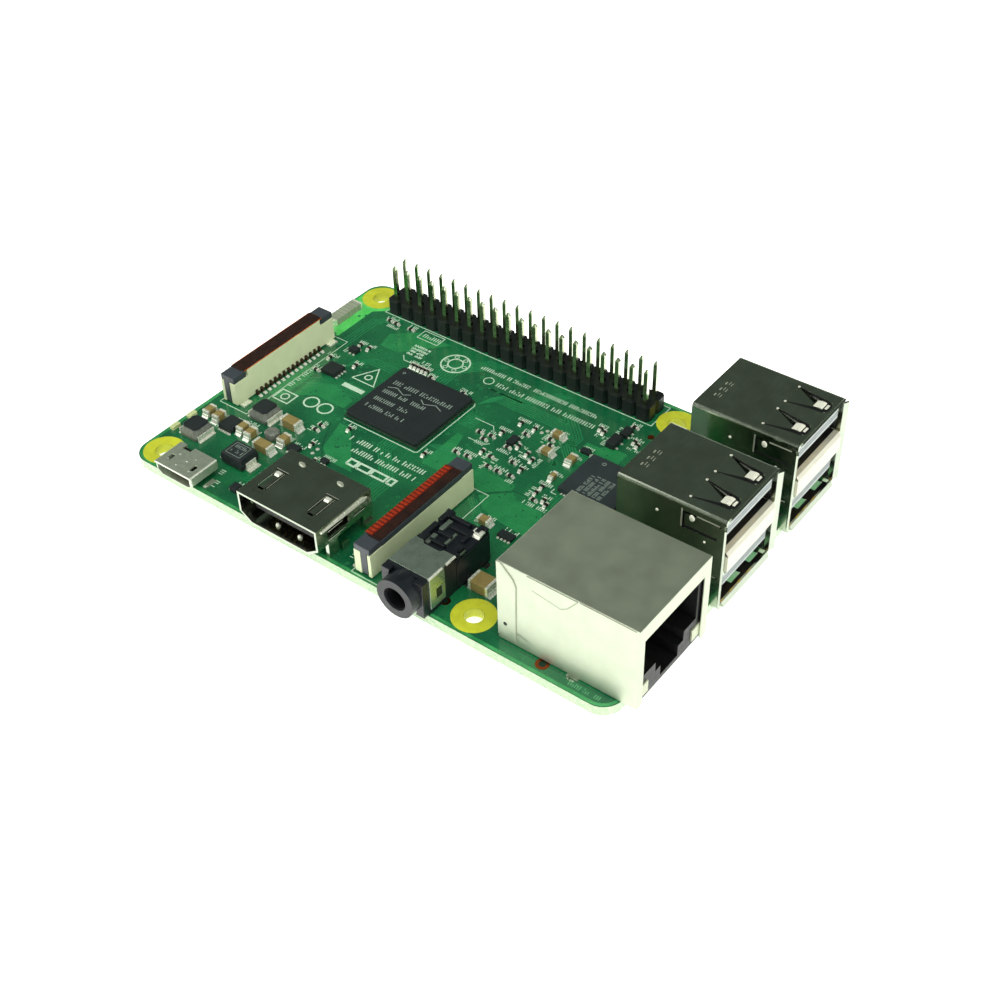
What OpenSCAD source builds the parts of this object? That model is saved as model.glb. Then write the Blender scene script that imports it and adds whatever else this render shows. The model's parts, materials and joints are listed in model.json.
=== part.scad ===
/* [Circuit board] */
// Length of the circuit board along X
board_l = 85; // [84:0.5:86]
// Width of the circuit board along Y
board_w = 56; // [56:0.5:57]
// Thickness of the circuit board
board_t = 1.5; // [1.2:0.1:1.7]
// Radius of the board's corners
board_corner_r = 3; // [1:0.5:3.5]

/* [Mounting holes] */
// Distance between the mounting holes along X
hole_pitch_x = 58; // [57.5:0.5:58.5]
// Distance between the mounting holes along Y
hole_pitch_y = 49; // [48.5:0.5:49]
// Diameter of a mounting hole
hole_d = 2.75; // [2.5:0.05:3]
// Distance from a board edge to the nearest hole centres
hole_inset = 3.5; // [3.5:0.1:3.8]

/* [Pin header] */
// Number of pins in one row of the header
header_columns = 20; // [10:1:20]
// Height of the pin tips over the board
header_pin_top = 8.6; // [6:0.1:10]

/* [Sockets] */
// Height of a double plug stack over the board
stack_h = 15.6; // [15:0.1:16]
// Width of a double plug stack
stack_w = 13; // [12.8:0.1:13.2]
// Height of the network socket over the board
network_h = 13.7; // [13.4:0.1:14]
// Height of the video socket over the board
video_h = 6.15; // [6:0.05:6.5]
// Radius of the audio socket's bore
audio_bore_r = 1.8; // [1.7:0.05:1.9]
// How far the pins reach below the board
tail_l = 1.5; // [1.3:0.1:2]

/* [Cable connectors] */
// Length of a flat cable connector
ribbon_l = 22; // [21.5:0.1:22.5]
// How far both cable latches are lifted
latch_lift = 0; // [0:0.1:1.2]

/* [Hidden] */
$fn = 48;

// A cut runs this far past the faces that it opens
cut = 0.5;

// Pin header
pitch = 2.54;
pin_side = 0.64;
header_center = [32.5, 52.5];
header_strip_h = 2.54;
header_cell_w = 2.4;
header_corner = 0.45;
header_start_x = header_center[0] - (header_columns - 1) * pitch / 2;
header_sites = [
  for (i = [0:header_columns - 1], row = [-1, 1])
    [header_start_x + i * pitch, header_center[1] + row * pitch / 2]
];

// Chips
processor_at = [27, 31.9];
processor_side = 14;
processor_gap = 0.25;
memory_at = [27, 31];
memory_side = [12, 11.5];
ball_pitch = 1;
hub_at = [60.5, 34.2];
hub_side = 9;
hub_h = 0.9;
pad_t = 0.05;
// Each small chip is [centre, size, turn, leads on one side]
chip_list = [
  [[10.8, 32.5], [2.6, 2.8, 0.8], 90, 4],
  [[7.75, 13.25], [2.6, 2.8, 0.9], 0, 6],
  [[19.3, 14.6], [1.9, 1.4, 0.7], 0, 3],
  [[18.7, 3.2], [1.4, 1.3, 0.9], 90, 2],
  [[24.9, 15.2], [1.2, 0.9, 0.6], 0, 2],
  [[10.1, 38.4], [1.5, 1.2, 0.8], 0, 2],
  [[56.6, 43.1], [2.6, 1.5, 1], 90, 2],
  [[56.8, 46], [2.1, 1.2, 0.8], 90, 2],
  [[44.25, 34.9], [2, 1.2, 0.6], 90, 2],
  [[55.9, 17.9], [2.4, 1.3, 0.5], 0, 4],
  [[54.4, 39], [0.9, 1.5, 0.7], 90, 1]
];

// Ceramic capacitors, [centre, size, turn]
large_capacitors = [
  [[2.9, 13.6], [2, 1.25, 1.25], 90], [[4.95, 13.5], [2, 1.25, 1.25], 90],
  [[9.95, 13.6], [2, 1.25, 1.25], 90], [[11.8, 13.3], [2, 1.25, 1.25], 90],
  [[16.9, 15.1], [2, 1.4, 1.2], 90], [[15.2, 18.5], [3.2, 1.6, 1.5], 0],
  [[15.6, 12.1], [3.2, 1.6, 1.4], 0], [[48.95, 39.7], [2, 1.25, 0.9], 0],
  [[49.8, 35.65], [2, 1.25, 0.9], 0], [[53.8, 36.2], [2, 1.25, 0.9], 90],
  [[53.8, 31.7], [1.6, 0.8, 0.8], 90], [[51.6, 18.5], [2, 1.25, 0.9], 0],
  [[59.4, 8.2], [3.2, 2.5, 1.7], 0]
];
large_end_l = 0.4;

// Small two-ended parts, [centre, turn], on the top of the board
small_part_size = [1.05, 0.55, 0.42];
small_end_l = 0.25;
small_parts_top = [
  [[9.2, 48.2], 0], [[10.6, 48.1], 0], [[8, 34.9], 90], [[8.4, 31.2], 0], [[12.8, 35.6], 90],
  [[9.8, 40.2], 90], [[11.5, 40.3], 90], [[24.5, 40], 0], [[31.1, 39.7], 0],
  [[35.5, 25], 90], [[22.7, 23], 90], [[18.6, 21.2], 0], [[18.6, 20], 0],
  [[20.6, 17.1], 90], [[23.4, 14.4], 90], [[38.9, 33.8], 0], [[40.9, 34], 0],
  [[40.4, 32.8], 0], [[38.9, 28.1], 0], [[40.9, 28.3], 0], [[41.7, 35.7], 90],
  [[42.7, 39.1], 90], [[45.2, 39.1], 90], [[44.8, 37.3], 0], [[48.5, 38.4], 0],
  [[49.3, 37.3], 0], [[47.7, 33.8], 90], [[49.05, 33], 90], [[42, 30.5], 90],
  [[43.7, 30.15], 0], [[44.7, 28.2], 0], [[46.5, 28.15], 0], [[48.6, 28.4], 0],
  [[47.1, 31], 0], [[49.1, 30.4], 90], [[44.4, 33.3], 0], [[45.65, 34.45], 90],
  [[53.8, 29.1], 90], [[53.8, 27.6], 90], [[54.4, 26.1], 0], [[55.7, 26.9], 90],
  [[56.5, 26.2], 90], [[53.9, 44.4], 90], [[53.1, 44.8], 90], [[59.7, 44.6], 90],
  [[58.9, 45.1], 90], [[13.6, 48.2], 0], [[57, 48], 0]
];
// A row of five beside the processor starts at top_row_x
top_row_x = 20.1;
top_row_y = 40.8;
top_row_pitch = 0.75;
small_part_sites = concat(
  small_parts_top,
  [for (i = [0:4]) [[top_row_x + i * top_row_pitch, top_row_y], 90]]
);
// Rows of decoupling parts below the board, under the processor and the hub
under_columns = 9;
under_rows = 4;
under_pitch = [1.6, 1.9];
under_row_start = [40, 27];

// Radio parts and lights
antenna_at = [1.95, 45.2];
antenna_size = [2, 6.5, 1.1];
wireless_at = [8, 45];
wireless_size = [4.9, 2.9, 0.5];
light_sites = [[0.95, 8.2], [0.95, 11.6]];
light_size = [0.8, 1.6, 0.6];

// Bare round pads for a test probe
test_pad_sites = [[21.9, 16.8], [21.9, 15.7], [46.9, 39.9], [46.4, 39.1]];
test_pad_d = 0.6;

// Coils, diode and fuse
inductor_sites = [[10.2, 18.1], [4.6, 9.2]];
inductor_size = [3.7, 3.8, 2];
bead_at = [14.6, 15];
bead_size = [2.2, 2.1, 1.3];
bead_corner = 0.55;
diode_at = [14.6, 8.2];
diode_size = [4.3, 3.7, 2.1];
fuse_at = [10, 7];
fuse_size = [3.2, 2.5, 0.8];

// Flat cable connectors, in their own frame with the contacts on the +X side
display_at = [3.7, 28.25];
camera_at = [45, 11.8];
ribbon_w = 2.9;
ribbon_stand = 0.25;
ribbon_shoulder_z = 4.15;
ribbon_wall_z = 5.3;
ribbon_wall_l = 16.2;
ribbon_slot_l = 16.8;
ribbon_slot_floor = 1;
ribbon_wall_t = 0.7;
ribbon_contacts = 15;
ribbon_pitch = 1;
latch_top_z = 5.2;
latch_gap = 0.12;
latch_bar_x = [-1.45, 0.05];
latch_leg = [1, 0.5];
latch_leg_bottom = 0.5;
latch_leg_x = -0.3;
latch_blade = [0.5, 16.4];

// Double plug stacks
stack_back_x = 70.5;
stack_front_x = 86.6;
stack_l = stack_front_x - stack_back_x;
stack_y = [29, 46.95];
sheet_t = 0.3;
stack_corner_r = 0.5;
port_w = 12.5;
port_h = 5.1;
port_z = [1.25, 10];
lip_out = 0.85;
lip_l = 0.4;
tongue_w = 11.1;
tongue_t = 1.9;
// Room over a tongue for the plug's own shell
tongue_room = 0.7;
finger_root_x = 9.9;
finger_tip_x = 15.1;
finger_root_w = 3.6;
finger_tip_w = 1.9;
finger_y = 2.95;
finger_gap = 0.25;
plug_contact_y = [-3.5, -1, 1, 3.5];

// Network socket
network_back_x = 66.4;
network_front_x = 87.3;
network_l = network_front_x - network_back_x;
network_y = 10.3;
network_w = 15.9;
network_rim = 1.3;
jack_w = 11.9;
jack_z = [4.2, 10.9];
jack_steps = [[6.4, 2.6], [4, 0.9]];
jack_depth = 14;
light_window = [2.4, 1.9];
light_window_y = 6.2;
light_window_z = 0.9;
network_contact_pitch = 1.02;
network_insert_x = [6.6, 20.4];
network_pin_side = 0.5;
network_peg_d = 3;
// Earth tab that the shell's side wall sends through the board
network_tab_x = 11.5;
network_tab = [1.4, 0.3];
network_seat = 0.15;

// Video socket
video_x = 31.8;
video_front_y = -1.45;
video_back_y = 9.6;
video_w = 14.6;
video_bottom_z = 1.15;
video_taper_z = 2.6;
video_bottom_w = 10.6;
video_sheet_t = 0.35;

// Power socket
power_x = 10.6;
power_front_y = -0.85;
power_back_y = 4.3;
power_w = 7.3;
power_h = 2.75;
power_bottom_w = 5.4;
power_sheet_t = 0.25;

// Audio socket
audio_x = 53.4;
audio_w = 6.8;
audio_h = 6;
audio_back_y = 13;
audio_barrel_l = 2.5;
audio_barrel_r = 3;
audio_axis_z = 3.1;
audio_bore_l = 14;

// Memory card slot, below the board
card_slot_x = [0.9, 13.4];
card_slot_y = 28;
card_slot_w = 13.6;
card_slot_h = 1.5;
card_w = 11.2;
card_t = 0.8;
card_sheet_t = 0.2;

// Places everything below from the board's corner to the frame of the part
module on_board() {
  translate([-hole_inset - hole_pitch_x / 2, -board_w / 2, board_t]) children();
}

// Block centred on c in X and Y, standing at height z
module block(c, s, z = 0) {
  translate([c[0] - s[0] / 2, c[1] - s[1] / 2, z]) cube(s);
}

// Block between two opposite corners
module box(low, high) {
  translate(low) cube(high - low);
}

// Extrudes an outline drawn in XZ along Y, centred on y
module along_y(y, w) {
  translate([0, y + w / 2, 0]) rotate([90, 0, 0]) linear_extrude(w) children();
}

// Extrudes an outline drawn in YZ along X, from x
module along_x(x, l) {
  translate([x, 0, 0]) rotate([90, 0, 90]) linear_extrude(l) children();
}

function arc_points(c, r, from, to, n) =
  [for (i = [0:n]) c + r * [cos(from + (to - from) * i / n), sin(from + (to - from) * i / n)]];

// Outline of a rectangle with round corners, centred on the origin
function rounded(l, w, r, n = 4) = concat(
  arc_points([l / 2 - r, w / 2 - r], r, 0, 90, n),
  arc_points([r - l / 2, w / 2 - r], r, 90, 180, n),
  arc_points([r - l / 2, r - w / 2], r, 180, 270, n),
  arc_points([l / 2 - r, r - w / 2], r, 270, 360, n)
);

// Outline of a rectangle with its corners cut off, centred on the origin
function chamfered(l, w, c) = [
  [l / 2, c - w / 2], [l / 2, w / 2 - c], [l / 2 - c, w / 2], [c - l / 2, w / 2],
  [-l / 2, w / 2 - c], [-l / 2, c - w / 2], [c - l / 2, -w / 2], [l / 2 - c, -w / 2]
];

// ---- Circuit board ----

mounting_holes = [
  for (x = [0, hole_pitch_x], y = [-1, 1])
    [hole_inset + x, board_w / 2 + y * hole_pitch_y / 2]
];
stack_peg_sites = [for (y = stack_y, x = [73.2, 80.6], s = [-1, 1]) [x, y + s * 6.1]];
stack_pin_sites = [for (y = stack_y, x = [71.6, 74.1], p = plug_contact_y) [x, y + p]];
network_peg_sites = [for (s = [-1, 1]) [80.2, network_y + s * 5.7]];
network_tab_sites = [
  for (s = [-1, 1])
    [network_back_x + network_tab_x, network_y + s * (network_w - network_tab[1]) / 2]
];
network_pin_sites = [
  for (i = [0:9]) [71.2 + (i % 2) * 2.54, network_y + (i - 4.5) * 1.27]
];
audio_peg_sites = [[audio_x, 3.2], [audio_x, 10.2]];
pin_hole_d = 1;
peg_hole_d = 2.2;
contact_hole_d = 0.9;

module drill(sites, d) {
  for (p = sites) translate([p[0], p[1], -board_t - cut]) cylinder(d = d, h = board_t + 2 * cut);
}

module circuit_board() color("seagreen") on_board() difference() {
  translate([board_l / 2, board_w / 2, -board_t])
    linear_extrude(board_t) polygon(rounded(board_l, board_w, board_corner_r, 10));
  drill(mounting_holes, hole_d);
  drill(header_sites, pin_hole_d);
  drill(stack_peg_sites, peg_hole_d);
  drill(stack_pin_sites, contact_hole_d);
  drill(network_peg_sites, network_peg_d + 0.2);
  drill(network_tab_sites, 1.8);
  drill(network_pin_sites, contact_hole_d);
  drill(audio_peg_sites, 1.4);
}

module test_pads() color("white") on_board()
  for (p = test_pad_sites) translate([p[0], p[1], 0]) cylinder(d = test_pad_d, h = pad_t);

// ---- Chips ----

module ball_grid(c, side, top, bottom, d) {
  nx = floor((side[0] - 1) / ball_pitch);
  ny = floor((side[1] - 1) / ball_pitch);
  for (i = [0:nx], j = [0:ny])
    translate([c[0] + (i - nx / 2) * ball_pitch, c[1] + (j - ny / 2) * ball_pitch, bottom])
      cylinder(d = d, h = top - bottom, $fn = 16);
}

module processor_substrate() color("darkslategray") on_board()
  block(processor_at, [processor_side, processor_side, 0.3], processor_gap);

module processor_cap() color([0.13, 0.14, 0.15]) on_board()
  translate([processor_at[0], processor_at[1], processor_gap + 0.3])
    linear_extrude(0.6) polygon(chamfered(processor_side - 0.2, processor_side - 0.2, 0.35));

module processor_solder_balls() color("silver") on_board()
  ball_grid(processor_at, [processor_side, processor_side], processor_gap, 0, 0.5);

module memory_substrate() color("darkslategray") on_board()
  block(memory_at, [memory_side[0], memory_side[1], 0.25], -board_t - 0.45);

module memory_cap() color([0.13, 0.14, 0.15]) on_board()
  block(memory_at, [memory_side[0] - 0.1, memory_side[1] - 0.1, 0.45], -board_t - 0.9);

module memory_solder_balls() color("silver") on_board()
  ball_grid(memory_at, memory_side, -board_t, -board_t - 0.2, 0.45);

module hub_chip() color([0.15, 0.16, 0.18]) on_board()
  block(hub_at, [hub_side, hub_side, hub_h - pad_t], pad_t);

// Solder lands around the hub chip, sixteen on a side
module hub_chip_pads() color("silver") on_board()
  translate([hub_at[0], hub_at[1], 0]) {
    block([0, 0], [6, 6, pad_t]);
    for (turn = [0:90:270], i = [0:15]) rotate([0, 0, turn])
      block([hub_side / 2, (i - 7.5) * 0.5], [0.6, 0.26, pad_t]);
  }

module wireless_chip() color([0.2, 0.2, 0.22]) on_board()
  block(wireless_at, wireless_size, -board_t - wireless_size[2]);

module chip_antenna() color("lightgray") on_board()
  block(antenna_at, antenna_size, 0);

module at_chip(c) {
  translate([c[0][0], c[0][1], 0]) rotate([0, 0, c[2]]) children();
}

module small_chips() color([0.12, 0.12, 0.13]) on_board()
  for (c = chip_list) at_chip(c) block([0, 0], c[1] - [0, 0, 0.1], 0.1);

// Bent leads along both long sides of the small chips
lead_w = 0.3;
lead_out = 0.35;
module small_chip_leads() color("silver") on_board()
  for (c = chip_list, s = [-1, 1]) at_chip(c) {
    step = c[1][0] / c[3];
    for (i = [0:c[3] - 1]) translate([(i - (c[3] - 1) / 2) * step, s * c[1][1] / 2, 0])
      block([0, s * lead_out / 2], [min(lead_w, step * 0.55), lead_out, 0.12]);
  }

module clock_crystals() color("silver") on_board() {
  block([48, 36], [3.2, 2.5, 0.7], -board_t - 0.7);
  block([17, 44], [2.5, 2, 0.6], -board_t - 0.6);
}

// ---- Coils, diode, fuse ----

module inductor_cores() color([0.2, 0.2, 0.22]) on_board() {
  for (p = inductor_sites) block(p, inductor_size - [0, 0, 0.1], 0.1);
  translate([bead_at[0], bead_at[1], 0.05])
    linear_extrude(bead_size[2]) polygon(chamfered(bead_size[0], bead_size[1], bead_corner));
}

// Each coil has a metal clip up both ends, with a short foot
module inductor_terminals() color("silver") on_board() {
  for (p = inductor_sites, s = [-1, 1]) {
    edge = p[0] + s * inductor_size[0] / 2;
    block([edge + s * 0.1, p[1]], [0.2, 3.2, 1.1]);
    block([edge + s * 0.35, p[1]], [0.3, 3.2, 0.15]);
  }
  for (s = [-1, 1])
    block([bead_at[0] + s * (bead_size[0] / 2 + 0.1), bead_at[1]], [0.2, 0.9, 0.7]);
}

module power_diode_body() color([0.16, 0.16, 0.17]) on_board()
  block(diode_at, diode_size - [0, 0, 0.2], 0.2);

module power_diode_leads() color("silver") on_board()
  for (s = [-1, 1]) {
    edge = diode_at[0] + s * diode_size[0] / 2;
    block([edge + s * 0.1, diode_at[1]], [0.2, 2, 1.2]);
    block([edge - s * 0.4, diode_at[1]], [0.8, 2, 0.2]);
    block([edge + s * 0.6, diode_at[1]], [0.8, 2.2, 0.2]);
  }

module resettable_fuse() color([0.15, 0.35, 0.2]) on_board()
  block(fuse_at, fuse_size, -board_t - fuse_size[2]);

// ---- Two-ended parts ----

module chip_middle(s, end_l) {
  block([0, 0], [s[0] - 2 * end_l, s[1] - 0.04, s[2] - 0.04], 0.02);
}

module chip_ends(s, end_l) {
  for (side = [-1, 1]) block([side * (s[0] - end_l) / 2, 0], [end_l, s[1], s[2]]);
}

module large_capacitor_bodies() color([0.62, 0.5, 0.33]) on_board()
  for (c = large_capacitors) at_chip(c) chip_middle(c[1], large_end_l);

module large_capacitor_ends() color("silver") on_board()
  for (c = large_capacitors) at_chip(c) chip_ends(c[1], large_end_l);

module at_small_parts() {
  for (p = small_part_sites)
    translate([p[0][0], p[0][1], 0]) rotate([0, 0, p[1]]) children();
  for (i = [0:under_columns - 1], j = [0:under_rows - 1])
    translate([
      under_row_start[0] + i * under_pitch[0],
      under_row_start[1] - j * under_pitch[1],
      -board_t - small_part_size[2]
    ]) rotate([0, 0, 90]) children();
}

module small_part_bodies() color([0.3, 0.22, 0.18]) on_board()
  at_small_parts() chip_middle(small_part_size, small_end_l);

module small_part_ends() color("silver") on_board()
  at_small_parts() chip_ends(small_part_size, small_end_l);

module status_lights() color("honeydew") on_board()
  for (p = light_sites) block(p, light_size);

// ---- Power socket ----

// Outline of a plug shell: flat on top, narrower at the bottom
function shell_outline(w, top, taper, bottom, bottom_w) = [
  [-w / 2, top], [-w / 2, taper], [-bottom_w / 2, bottom], [bottom_w / 2, bottom],
  [w / 2, taper], [w / 2, top]
];

module power_outline(inset) {
  t = inset;
  polygon(shell_outline(power_w - 2 * t, power_h - t, 1.2, 0.35 + t, power_bottom_w - t));
}

module at_power() {
  translate([power_x, 0, 0]) children();
}

module power_tube(from, to, inset) {
  along_y((from + to) / 2, to - from) power_outline(inset);
}

module power_socket_shell() color("silver") on_board() at_power() {
  difference() {
    power_tube(power_front_y, power_back_y, 0);
    power_tube(power_front_y - cut, power_back_y - power_sheet_t, power_sheet_t);
    for (s = [-1, 1]) block([s * 2.3, 1], [0.7, 1.2, 2], 2);
    block([-1.6, power_back_y - 0.4], [1.6, 1.2, 1], 2);
  }
  // Solder ears beside the shell
  for (s = [-1, 1]) box(
    [min(s * power_w / 2, s * (power_w / 2 + 0.8)), 1.2, 0],
    [max(s * power_w / 2, s * (power_w / 2 + 0.8)), 2.9, 0.25]
  );
  // Flared lips around the mouth
  box([-power_w / 2, power_front_y - 0.25, power_h - 0.25], [power_w / 2, power_front_y, power_h]);
}

module power_socket_contacts() color("goldenrod") on_board() at_power()
  for (i = [-2:2]) translate([i * 0.65, 0, 0]) {
    box([-0.15, -0.2, 1.25], [0.15, 3.1, 1.35]);
    box([-0.15, 3, 0.1], [0.15, 3.1, 1.25]);
    box([-0.15, 3, 0], [0.15, 5, 0.1]);
  }

module power_socket_insulator() color([0.1, 0.1, 0.1]) on_board() at_power() difference() {
  union() {
    box([-1.85, -0.3, 1.35], [1.85, 3.3, 1.85]);
    box([-2.4, 3.1, 0.75], [2.4, power_back_y - power_sheet_t - 0.05, 2.4]);
  }
  block([0, 3.05], [4, 0.1, 1.6], 0);
}

// ---- Video socket ----

module video_outline(inset) {
  t = inset;
  polygon(shell_outline(
    video_w - 2 * t, video_h - t, video_taper_z + t / 2, video_bottom_z + t, video_bottom_w - t
  ));
}

module video_tube(from, to, inset) {
  along_y((from + to) / 2, to - from) video_outline(inset);
}

module at_video() {
  translate([video_x, 0, 0]) children();
}

// Spring finger in a slot, with its root at y = 0 and its tip towards -Y
module video_finger() {
  box([-0.5, -4.4, -video_sheet_t], [0.5, 0.1, 0]);
}

module video_socket_shell() color("silver") on_board() at_video() {
  difference() {
    video_tube(video_front_y, video_back_y, 0);
    video_tube(video_front_y - cut, video_back_y - video_sheet_t, video_sheet_t);
    for (s = [-1, 1]) {
      block([s * 4.6 - 0.4, 2.65], [1.8, 5, 2], video_h - 1);
      translate([s * 3.55 - 0.2, 7.9, video_h - 1]) cylinder(d = 0.9, h = 2);
      box([s * video_w / 2 - 1, 0.6, 3.6], [s * video_w / 2 + 1, 5, 4.9]);
    }
    // Way out for the contact tails
    box([-5, 7, 0], [5, video_back_y + cut, video_bottom_z + video_sheet_t + 0.05]);
  }
  for (s = [-1, 1]) {
    translate([s * 4.6 - 0.4, 5.1, video_h]) video_finger();
    // Feet of the shell, through the board's surface copper
    for (y = [0.6, 7.6]) box(
      [s * 7 - 0.3, y, 0], [s * 7 + 0.3, y + 1.9, video_taper_z + 0.3]
    );
  }
}

video_contacts_top = 10;
module video_socket_contacts() color("goldenrod") on_board() at_video() {
  for (i = [0:video_contacts_top - 1], level = [0, 1])
    if (level == 0 || i < video_contacts_top - 1)
      translate([(i - 4.5 + level * 0.5) * 1, 0, 0]) {
        box([-0.15, 0.2, level == 0 ? 3.9 : 3], [0.15, 7.4, level == 0 ? 4 : 3.1]);
        box([-0.15, 7.3, 0.1], [0.15, 7.4, level == 0 ? 3.9 : 3]);
        box([-0.15, 7.3, 0], [0.15, 10.8, 0.1]);
      }
}

module video_socket_insulator() color([0.1, 0.1, 0.1]) on_board() at_video() difference() {
  union() {
    box([-5.5, 0, 3.1], [5.5, 6.6, 3.9]);
    box([-5, 6.6, 1.55], [5, video_back_y - video_sheet_t - 0.05, 5.7]);
  }
  block([0, 7.35], [9.8, 0.1, 4], 0);
  block([0, 7], [9.8, 0.8, 0.1], 3.9);
  block([0, 7], [9.8, 0.8, 0.1], 3);
}

// ---- Audio socket ----

module audio_axis(from, to, r) {
  translate([audio_x, to, audio_axis_z]) rotate([90, 0, 0]) cylinder(r = r, h = to - from);
}

// Sockets for the springs in the sides of the rear half
spring_slots = [[-1, 6.4], [1, 6.4], [-1, 10.6], [1, 10.6]];

module audio_socket_body() color([0.12, 0.13, 0.14]) on_board() difference() {
  union() {
    audio_axis(-audio_barrel_l, 0.5, audio_barrel_r);
    block([audio_x, 2.9], [audio_w, 5.8, audio_h], 0);
    block([audio_x, 9.4], [audio_w, 7.2, audio_h - 0.9], 0);
    for (s = [-1, 1], y = [7, 12.3])
      block([audio_x + s * (audio_w / 2 - 0.6), y], [1.2, 1.4, audio_h - 0.2], 0);
    for (p = audio_peg_sites) translate([p[0], p[1], -1.2]) cylinder(d = 1.2, h = 1.3);
  }
  audio_axis(-audio_barrel_l - cut, audio_bore_l - audio_barrel_l, audio_bore_r);
  for (p = spring_slots)
    block([audio_x + p[0] * (audio_w / 2 - 0.3), p[1] + 1.2], [0.6 + 0.01, 1.4, audio_h + 1], 0);
}

module audio_socket_springs() color("silver") on_board()
  for (p = spring_slots) {
    block([audio_x + p[0] * (audio_w / 2 - 0.2), p[1] + 1.2], [0.25, 1.2, audio_h - 0.6], 0);
    block([audio_x + p[0] * (audio_w / 2 + 0.4), p[1] + 1.2], [0.95, 1.2, 0.2], 0);
  }

// ---- Flat cable connectors ----

module at_display() {
  on_board() translate([display_at[0], display_at[1], 0]) children();
}

module at_camera() {
  on_board() translate([camera_at[0], camera_at[1], 0]) rotate([0, 0, 180]) children();
}

module ribbon_housing() {
  x1 = ribbon_w / 2;
  difference() {
    union() {
      block([0, 0], [ribbon_w, ribbon_l, ribbon_shoulder_z - ribbon_stand], ribbon_stand);
      block([x1 - ribbon_wall_t / 2, 0], [ribbon_wall_t, ribbon_wall_l, ribbon_wall_z - 1], 1);
    }
    // Slot for the cable and the latch blade
    box(
      [-0.75, -ribbon_slot_l / 2, ribbon_slot_floor],
      [x1 - ribbon_wall_t, ribbon_slot_l / 2, ribbon_wall_z + cut]
    );
    // Trench for the contacts, right through the floor
    box([0.35, -7.4, 0], [x1 - ribbon_wall_t, 7.4, ribbon_wall_z]);
    // Grooves for the latch legs, open at the bottom
    for (s = [-1, 1]) block(
      [latch_leg_x, s * (ribbon_l / 2 - latch_leg[1] / 2 + cut / 2)],
      [latch_leg[0] + 2 * latch_gap, latch_leg[1] + cut + 2 * latch_gap, ribbon_wall_z]
    );
  }
}

module ribbon_latch() translate([0, 0, latch_lift]) {
  bar_z = ribbon_shoulder_z + latch_gap / 2;
  // Thin bar over the shoulder, between the ears
  box([latch_bar_x[0], -ribbon_slot_l / 2, bar_z], [latch_bar_x[1], ribbon_slot_l / 2, latch_top_z]);
  // Blade that presses the cable
  box([-0.75 + latch_gap, -latch_blade[1] / 2, 2.2],
    [-0.75 + latch_gap + latch_blade[0], latch_blade[1] / 2, bar_z]);
  // Ears and legs at both ends
  for (s = [-1, 1]) {
    block([0, s * (ribbon_slot_l + ribbon_l) / 4],
      [ribbon_w - 0.2, (ribbon_l - ribbon_slot_l) / 2, latch_top_z - bar_z], bar_z);
    block([latch_leg_x, s * (ribbon_l / 2 - latch_leg[1] / 2)],
      [latch_leg[0], latch_leg[1], bar_z - latch_leg_bottom], latch_leg_bottom);
  }
}

module ribbon_contact_row() {
  middle = (ribbon_contacts - 1) / 2;
  for (i = [0:ribbon_contacts - 1]) translate([0, (i - middle) * ribbon_pitch, 0]) {
    box([0.5, -0.15, 0.15], [0.72, 0.15, 4.5]);
    box([0.5, -0.15, 0], [2.45, 0.15, 0.15]);
  }
}

module ribbon_anchors() {
  for (s = [-1, 1]) block([1.3, s * 9.7], [2.2, 1.7, ribbon_stand]);
}

module ribbon_film() translate([0, 0, latch_lift])
  box([-1.35, -8.8, latch_top_z], [0.7, 8.8, latch_top_z + 0.06]);

module camera_housing() color([0.85, 0.85, 0.7]) at_camera() ribbon_housing();
module camera_latch() color([0.2, 0.21, 0.22]) at_camera() ribbon_latch();
module camera_contacts() color("silver") at_camera() ribbon_contact_row();
module camera_anchors() color("silver") at_camera() ribbon_anchors();
module camera_film() color([0.55, 0.2, 0.05]) at_camera() ribbon_film();
module display_housing() color([0.85, 0.85, 0.7]) at_display() ribbon_housing();
module display_latch() color([0.2, 0.21, 0.22]) at_display() ribbon_latch();
module display_contacts() color("silver") at_display() ribbon_contact_row();
module display_anchors() color("silver") at_display() ribbon_anchors();
module display_film() color([0.55, 0.2, 0.05]) at_display() ribbon_film();

// ---- Pin header ----

module header_strip() color([0.08, 0.08, 0.09]) on_board() difference() {
  for (i = [0:header_columns - 1], row = [-1, 1])
    translate([header_start_x + i * pitch, header_center[1] + row * header_cell_w / 2, 0])
      linear_extrude(header_strip_h) polygon(chamfered(pitch, header_cell_w, header_corner));
  for (p = header_sites) block(p, [pin_side, pin_side, header_strip_h + 2 * cut], -cut);
}

// Side view of a pin, pointed at both ends
pin_point = 0.5;
pin_bottom = -board_t - tail_l;
pin_outline = [
  [-pin_side / 5, pin_bottom], [pin_side / 5, pin_bottom], [pin_side / 2, pin_bottom + pin_point],
  [pin_side / 2, header_pin_top - pin_point], [pin_side / 5, header_pin_top],
  [-pin_side / 5, header_pin_top], [-pin_side / 2, header_pin_top - pin_point],
  [-pin_side / 2, pin_bottom + pin_point]
];

module header_pins() color("goldenrod") on_board()
  for (p = header_sites) translate([p[0], p[1], 0]) intersection() {
    along_y(0, 1) polygon(pin_outline);
    along_x(-0.5, 1) polygon(pin_outline);
  }

// ---- Network socket ----

module at_network() {
  on_board() translate([network_back_x, network_y, 0]) children();
}

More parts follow.
